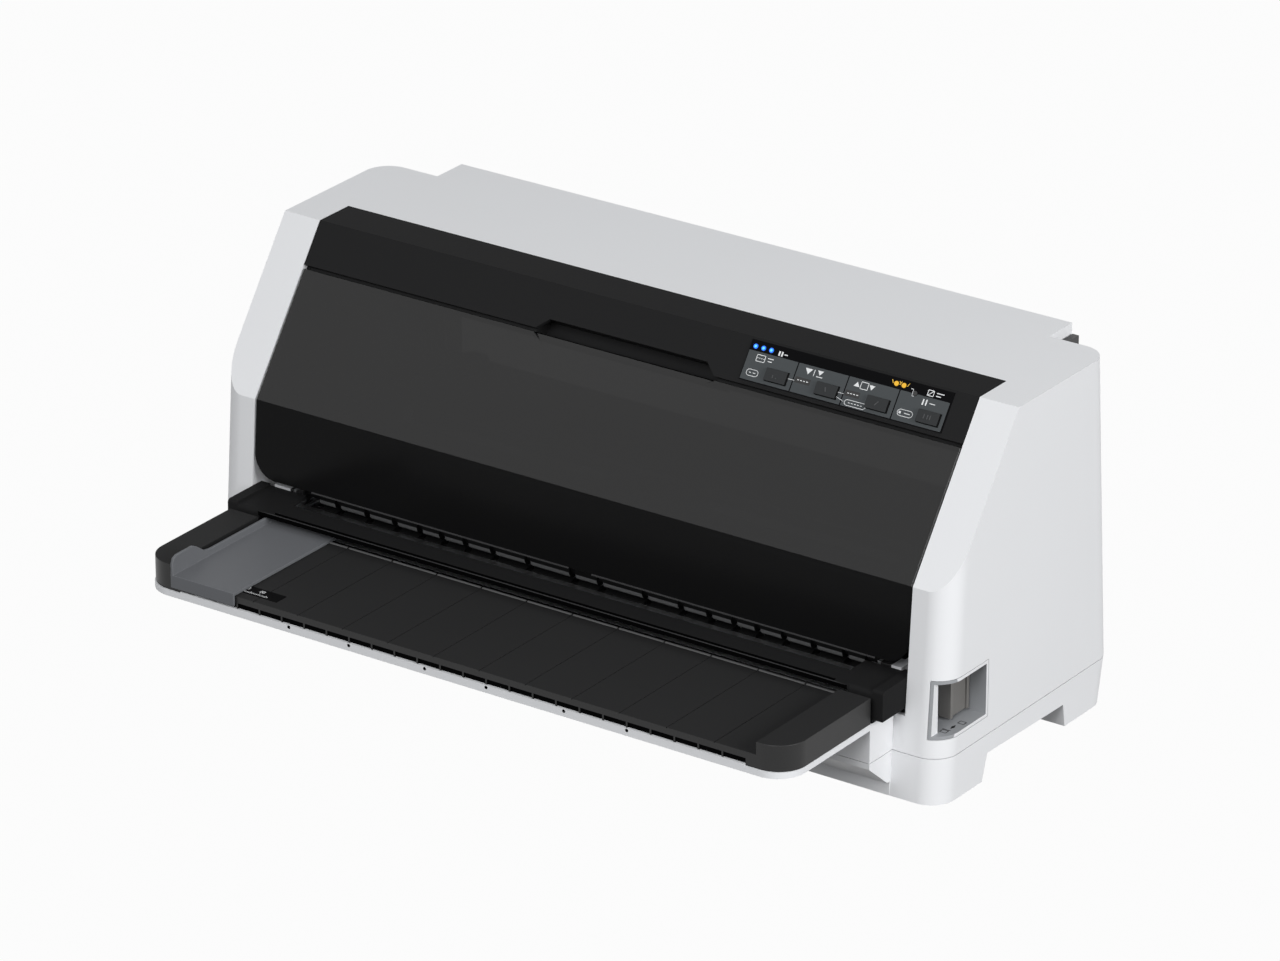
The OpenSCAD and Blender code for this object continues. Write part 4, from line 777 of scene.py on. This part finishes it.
tray = finished("table_tray", tray_white, 0.5, tray_edge, 3)
skins_by_place(tray, [(slot_shade, lambda p, n: in_lip_hole(p))])

# Ruler: a thin black strip let into the plate, printed in white with a mark for each
# millimetre and plain numbers at the centimetres.
ruler_black = moulded(
    "ruler_black", (0.004, 0.004, 0.0042), 0.4, 2000, 0.1, 0.1, specular=0.01
)
ruler = finished("table_ruler", ruler_black, 0)
corners = [ruler.matrix_world @ Vector(c) * to_mm for c in ruler.bound_box]
ruler_left, ruler_front = min(c.x for c in corners), min(c.y for c in corners)
ruler_top = max(c.z for c in corners)
zero_at, last_mark, digit_y = 5, 26, 6
digit_parts = {"0": "abcdef", "1": "bc", "2": "abged"}


def on_ruler(x, y, out=0.0):
    """A point on the ruler: x mm from its left end and y mm from its front edge"""
    return millimetres(ruler_left + x, ruler_front + y, ruler_top + out)


def digit(mark, x, y=digit_y, w=1.1, h=1.9, pen=0.32):
    """A plain seven-stroke digit as small plates"""
    left, right, low, high = x - w / 2, x + w / 2, y - h / 4, y + h / 4
    parts = {
        "a": plate(x, y + h / 2, w, pen), "g": plate(x, y, w, pen), "d": plate(x, y - h / 2, w, pen),
        "b": plate(right, high, pen, h / 2), "c": plate(right, low, pen, h / 2),
        "f": plate(left, high, pen, h / 2), "e": plate(left, low, pen, h / 2),
    }
    return [parts[k] for k in digit_parts[mark]]


scale = []
for i in range(last_mark + 1):
    tall = 2.6 if i % 10 == 0 else 1.9 if i % 5 == 0 else 1.3
    scale.append(plate(zero_at + i, 1.2 + tall / 2, 0.3, tall))
for mark, x in (("0", zero_at), ("1", 14.2), ("0", 15.9), ("2", 24.2), ("0", 25.9)):
    scale += digit(mark, x)
prisms(
    "ruler_print", scale, on_ruler, 0.0, 0.05, print_white, home["table_ruler"],
)

# Edge guide: a grey moulded slider with an upright wall, a plate that lies on the table and a
# tall grip at the front.
guide_grey = moulded(
    "guide_grey", (0.145, 0.150, 0.160), 0.42, 1300, 0.15, 0.06, specular=0.05
)


def guide_edge(at, line):
    return 1.0 if at.z > 62.5 else 0.5


finished("edge_guide", guide_grey, 0.6, guide_edge, 3)

# Front paper guide: a black moulded beam over the mouth of the paper path, with an end block
# on each side. The top of its front lip is painted grey as a highlight, and its groove and front
# face in the middle are painted near-black as shade.
beam_low, beam_high = 65.9, 68.3
beam_lip = moulded("beam_lip", (0.05, 0.05, 0.051), 0.42, 1300, 0.2, 0.1, specular=0.05)
beam = finished("front_paper_guide", trim_black, 0.4)
skins_by_place(beam, [
    (beam_lip, lambda p, n: p.y < -58.9 and p.z > beam_high and n.z > 0.9),
    (slot_shade, lambda p, n: p.y < -56.4 and beam_low < p.z < beam_high and abs(p.x) < 100),
])

# Feed rollers: steel shafts with moulded-on rubber segments, and an acetal gear at the left end
# of the driven ones. The rear pair is bright steel. The front pair is painted black as the shade
# of the slot, all but a strip along the pinch roller whose rubber shows as a painted highlight.
roller_rubber = moulded("roller_rubber", (0.095, 0.096, 0.098), 0.72, 500, 0.8, 0.9)
shaft_shade = moulded(
    "shaft_shade", (0.006, 0.006, 0.0062), 0.45, 1500, 0.15, 0.15, specular=0.05
)
gear_black = moulded(
    "gear_black", (0.012, 0.012, 0.0122), 0.45, 1500, 0.15, 0.15, specular=0.05
)
shaft_steel = moulded("shaft_steel", (0.58, 0.58, 0.57), 0.24, 1800, 0.15, 0.15, metallic=1)
gear_ivory = moulded("gear_ivory", (0.72, 0.70, 0.62), 0.38, 1500, 0.12, 0.05)
front_y, rear_y, feed_z, pinch_z = -17.3, 51.0, 55.3, 65.4


def roller_skins(y, z, shaft, gear):
    """A roller's skins; in front all is painted black as shade, save a highlight strip of rubber"""
    def from_axis(p):
        return math.hypot(p.y - y, p.z - z)

    return [
        (gear, lambda p, n: p.x < -194.6 and (from_axis(p) > 2.7 or p.x < -200)),
        (shaft, lambda p, n: p.y < 0 and (z < 60 or abs(n.z + 0.35) > 0.32)),
        (roller_rubber, lambda p, n: abs(p.x) < 181 and from_axis(p) > 3),
    ]


for kind, z in (("feed", feed_z), ("pinch", pinch_z)):
    for side, y, shaft, gear in (
        ("front", front_y, shaft_shade, gear_black), ("rear", rear_y, shaft_steel, gear_ivory)
    ):
        roller = finished(f"{side}_{kind}_roller", shaft, 0.15)
        skins_by_place(roller, roller_skins(y, z, shaft, gear))

# Roller bushes: acetal bushes pressed into the side frames, black at the front rollers and
# ivory at the rear ones.
bushes = finished("roller_bushes", gear_ivory, 0.2)
skins_by_place(bushes, [(gear_black, lambda p, n: p.y < 0)])

# Paper path plate and platen: a bent zinc-plated sheet that the paper slides over, with slots
# for the rollers, and a hard black bar below the print head.
zinc_steel = moulded("zinc_steel", (0.50, 0.51, 0.52), 0.36, 900, 0.25, 0.3, metallic=1)
finished("paper_path_plate", zinc_steel, 0.2)
platen_black = moulded("platen_black", (0.03, 0.03, 0.031), 0.5, 900, 0.3, 0.1)
finished("platen_bar", platen_black, 0.4)

# Steel frame: two pressed side frames screwed to a base plate, and the two shafts that carry
# the carriage.
finished("left_side_frame", zinc_steel, 0.15)
finished("right_side_frame", zinc_steel, 0.15)
finished("base_plate", zinc_steel, 0.2)
finished("main_guide_shaft", shaft_steel, 0.4)
finished("front_rail", shaft_steel, 0.4)

# Carriage and print head: a dark moulded slide that runs on the main shaft and the rail, with
# a die-cast, finned head in it.
carriage_black = moulded("carriage_black", (0.03, 0.031, 0.033), 0.45, 1200, 0.25, 0.1)
finished("carriage", carriage_black, 0.5)
head_metal = moulded("head_metal", (0.10, 0.10, 0.105), 0.42, 700, 0.5, 0.3, metallic=0.8)
finished("print_head", head_metal, 0.3)

# Ribbon cartridge: a flat black box with two arms, the inked ribbon between them, and a knob
# that winds it.
cartridge_black = moulded("cartridge_black", (0.016, 0.016, 0.017), 0.38, 1400, 0.2, 0.1)
finished("ribbon_cartridge", cartridge_black, 0.8)
ink_band = moulded("ink_band", (0.006, 0.006, 0.009), 0.8, 3000, 0.6, 0.4)
finished("ribbon_band", ink_band, 0)
knob_grey = moulded("knob_grey", (0.09, 0.09, 0.095), 0.42, 1400, 0.2, 0.08)
finished("ribbon_knob", knob_grey, 0.4)

# Carriage drive: a toothed rubber belt round two steel pulleys, with the step motor below the
# right one.
belt_rubber = moulded("belt_rubber", (0.014, 0.014, 0.015), 0.7, 1200, 0.4, 0.2)
finished("carriage_belt", belt_rubber, 0.1)
for name, y in (("front", 67.1), ("back", 82.9)):
    bar_row(
        f"belt_teeth_{name}", belt_rubber, home["carriage_belt"],
        millimetres(-170, y, 86), (0.002, 0, 0), 171, (0.001, 0.0008, 0.0054),
    )
finished("drive_pulley", shaft_steel, 0.2)
finished("idler_pulley", shaft_steel, 0.2)
motor_metal = moulded("motor_metal", (0.05, 0.05, 0.053), 0.4, 1000, 0.2, 0.15, metallic=0.4)
finished("carriage_motor", motor_metal, 0.5)

# Feed drive: a second step motor with a brass pinion and two acetal idler gears outside the
# left side frame.
finished("feed_motor", motor_metal, 0.5)
brass = moulded("brass", (0.62, 0.45, 0.18), 0.3, 1500, 0.15, 0.15, metallic=1)
finished("motor_pinion", brass, 0.1)
finished("feed_idler_gear", gear_ivory, 0.15)
finished("tractor_idler_gear", gear_ivory, 0.15)

# Release lever: a dark grey moulded arm with a ribbed grip, in a light grey recess whose floor
# is printed with two sheet signs and the way between them.
sill_z = 40.1
lever_grey = moulded("lever_grey", (0.155, 0.150, 0.143), 0.45, 1300, 0.2, 0.08)
recess_grey = moulded("recess_grey", (0.30, 0.31, 0.325), 0.45, 1400, 0.15, 0.04)
sign_black = moulded("recess_sign_black", (0.006, 0.006, 0.006), 0.5, 2200, 0.1, 0.2)


def on_case_skin(p, n):
    """The recess faces that lie in the case's own side and front"""
    return p.x > 239.5 or n.y < -0.9 and p.y < -44 or n.x > 0.9 and p.y < -30


def on_sill(x, y, out=0.0):
    """A point on the floor of the lever recess"""
    return millimetres(x, y, sill_z + out)


finished("release_lever", lever_grey, 0.5, segments=3)
recess = finished("lever_recess", recess_grey, 0.3, segments=3)
skins_by_place(recess, [(case_white, on_case_skin)])
sill_signs = [
    *frame_of(233.4, -27.5, 3.6, 3.0, 0.45), *frame_of(235.6, -13.5, 3.6, 3.0, 0.45),
    plate(233.4, -25.2, 5.0, 0.5), plate(234.5, -20.5, 0.8, 4.4), plate(234.5, -20.5, 1.8, 1.8),
]
prisms(
    "recess_signs", sill_signs, on_sill, 0.0, 0.05, sign_black, "case",
)

# Rear paper guide, tractor shafts and tractors: black mouldings on steel shafts that push
# fanfold paper in from the back, each tractor with a hinged cover over its pins.
drive_y, drive_z = 120.6, 69.85
guide_black = moulded("guide_black", (0.018, 0.018, 0.019), 0.45, 1300, 0.25, 0.1)


def on_drive_gear(p, n):
    return -200.5 < p.x < -194.4 and math.hypot(p.y - drive_y, p.z - drive_z) > 3.6


finished("rear_paper_guide", guide_black, 0.5)
drive = finished("tractor_drive_shaft", shaft_steel, 0.15)
skins_by_place(drive, [(gear_ivory, on_drive_gear)])
finished("tractor_support_shaft", shaft_steel, 0.4)
for side in ("left", "right"):
    finished(f"{side}_tractor", guide_black, 0.3)
    finished(f"{side}_tractor_cover", knob_grey, 0.3)

# Electronics: the main board and the panel board with their parts, the power supply in its
# sheet box, the mains inlet and the sockets for the data cables.
board_top, pin_z, pin_pitch = 20.2, 19.5, 2
pin_long, pin_thick = 0.0018, 0.0009
board_green = moulded("board_green", (0.018, 0.075, 0.035), 0.35, 1200, 0.2, 0.25)
chip_black = moulded("chip_black", (0.02, 0.02, 0.021), 0.5, 1400, 0.3, 0.1)
solder = moulded("solder_tin", (0.62, 0.62, 0.60), 0.3, 1500, 0.2, 0.2, metallic=1)
board = finished("main_board", board_green, 0.2)
skins_by_place(board, [(chip_black, lambda p, n: p.z > board_top)])
finished("panel_board", board_green, 0.2)
for name, x, y, pins in (("large", 44, 23, 13), ("small", 89, 8, 8)):
    reach = pins * pin_pitch / 2 + 1.6
    first = 1 - pins
    for side in ("front", "back", "left", "right"):
        off = -reach if side in ("front", "left") else reach
        if side in ("front", "back"):
            start, step = (x + first, y + off), (0.002, 0, 0)
            pin = (pin_thick, pin_long, pin_thick)
        else:
            start, step = (x + off, y + first), (0, 0.002, 0)
            pin = (pin_long, pin_thick, pin_thick)
        bar_row(
            f"{name}_chip_pins_{side}", solder, "case",
            millimetres(*start, pin_z), step, pins, pin,
        )
for k in range(4):
    bar_row(
        f"board_resistors_{k}", chip_black if k % 2 else solder, "case",
        millimetres(-12, -14 + 14 * k, 19.6), (0.0052, 0, 0), 7, (0.0018, 0.0036, 0.001),
    )
finished("power_supply", zinc_steel, 0.4)
finished("mains_inlet", trim_black, 0.3)
finished("interface_sockets", zinc_steel, 0.3)

# Screws: zinc-plated pan heads with a cross recess, four in the back of the case and four in
# the base plate. The recesses in the back are drawn as near-black bars, as painted shade.
rear_lean = math.radians(4)
finished("case_screws", shaft_steel, 0.4)
heads = [(x, y, z) for x in (-225, 225) for y, z in ((132.62, 40.1), (125.62, 140.1))]
slots = [(head, size) for head in heads for size in ((3.4, 0.12, 0.8), (0.8, 0.12, 3.4))]
for k, (head, size) in enumerate(slots):
    bar_row(
        f"screw_slot_{k}", slot_shade, "case", millimetres(*head), (0, 0, 0), 1,
        millimetres(*size), (rear_lean, 0, 0),
    )
finished("frame_screws", shaft_steel, 0.4)
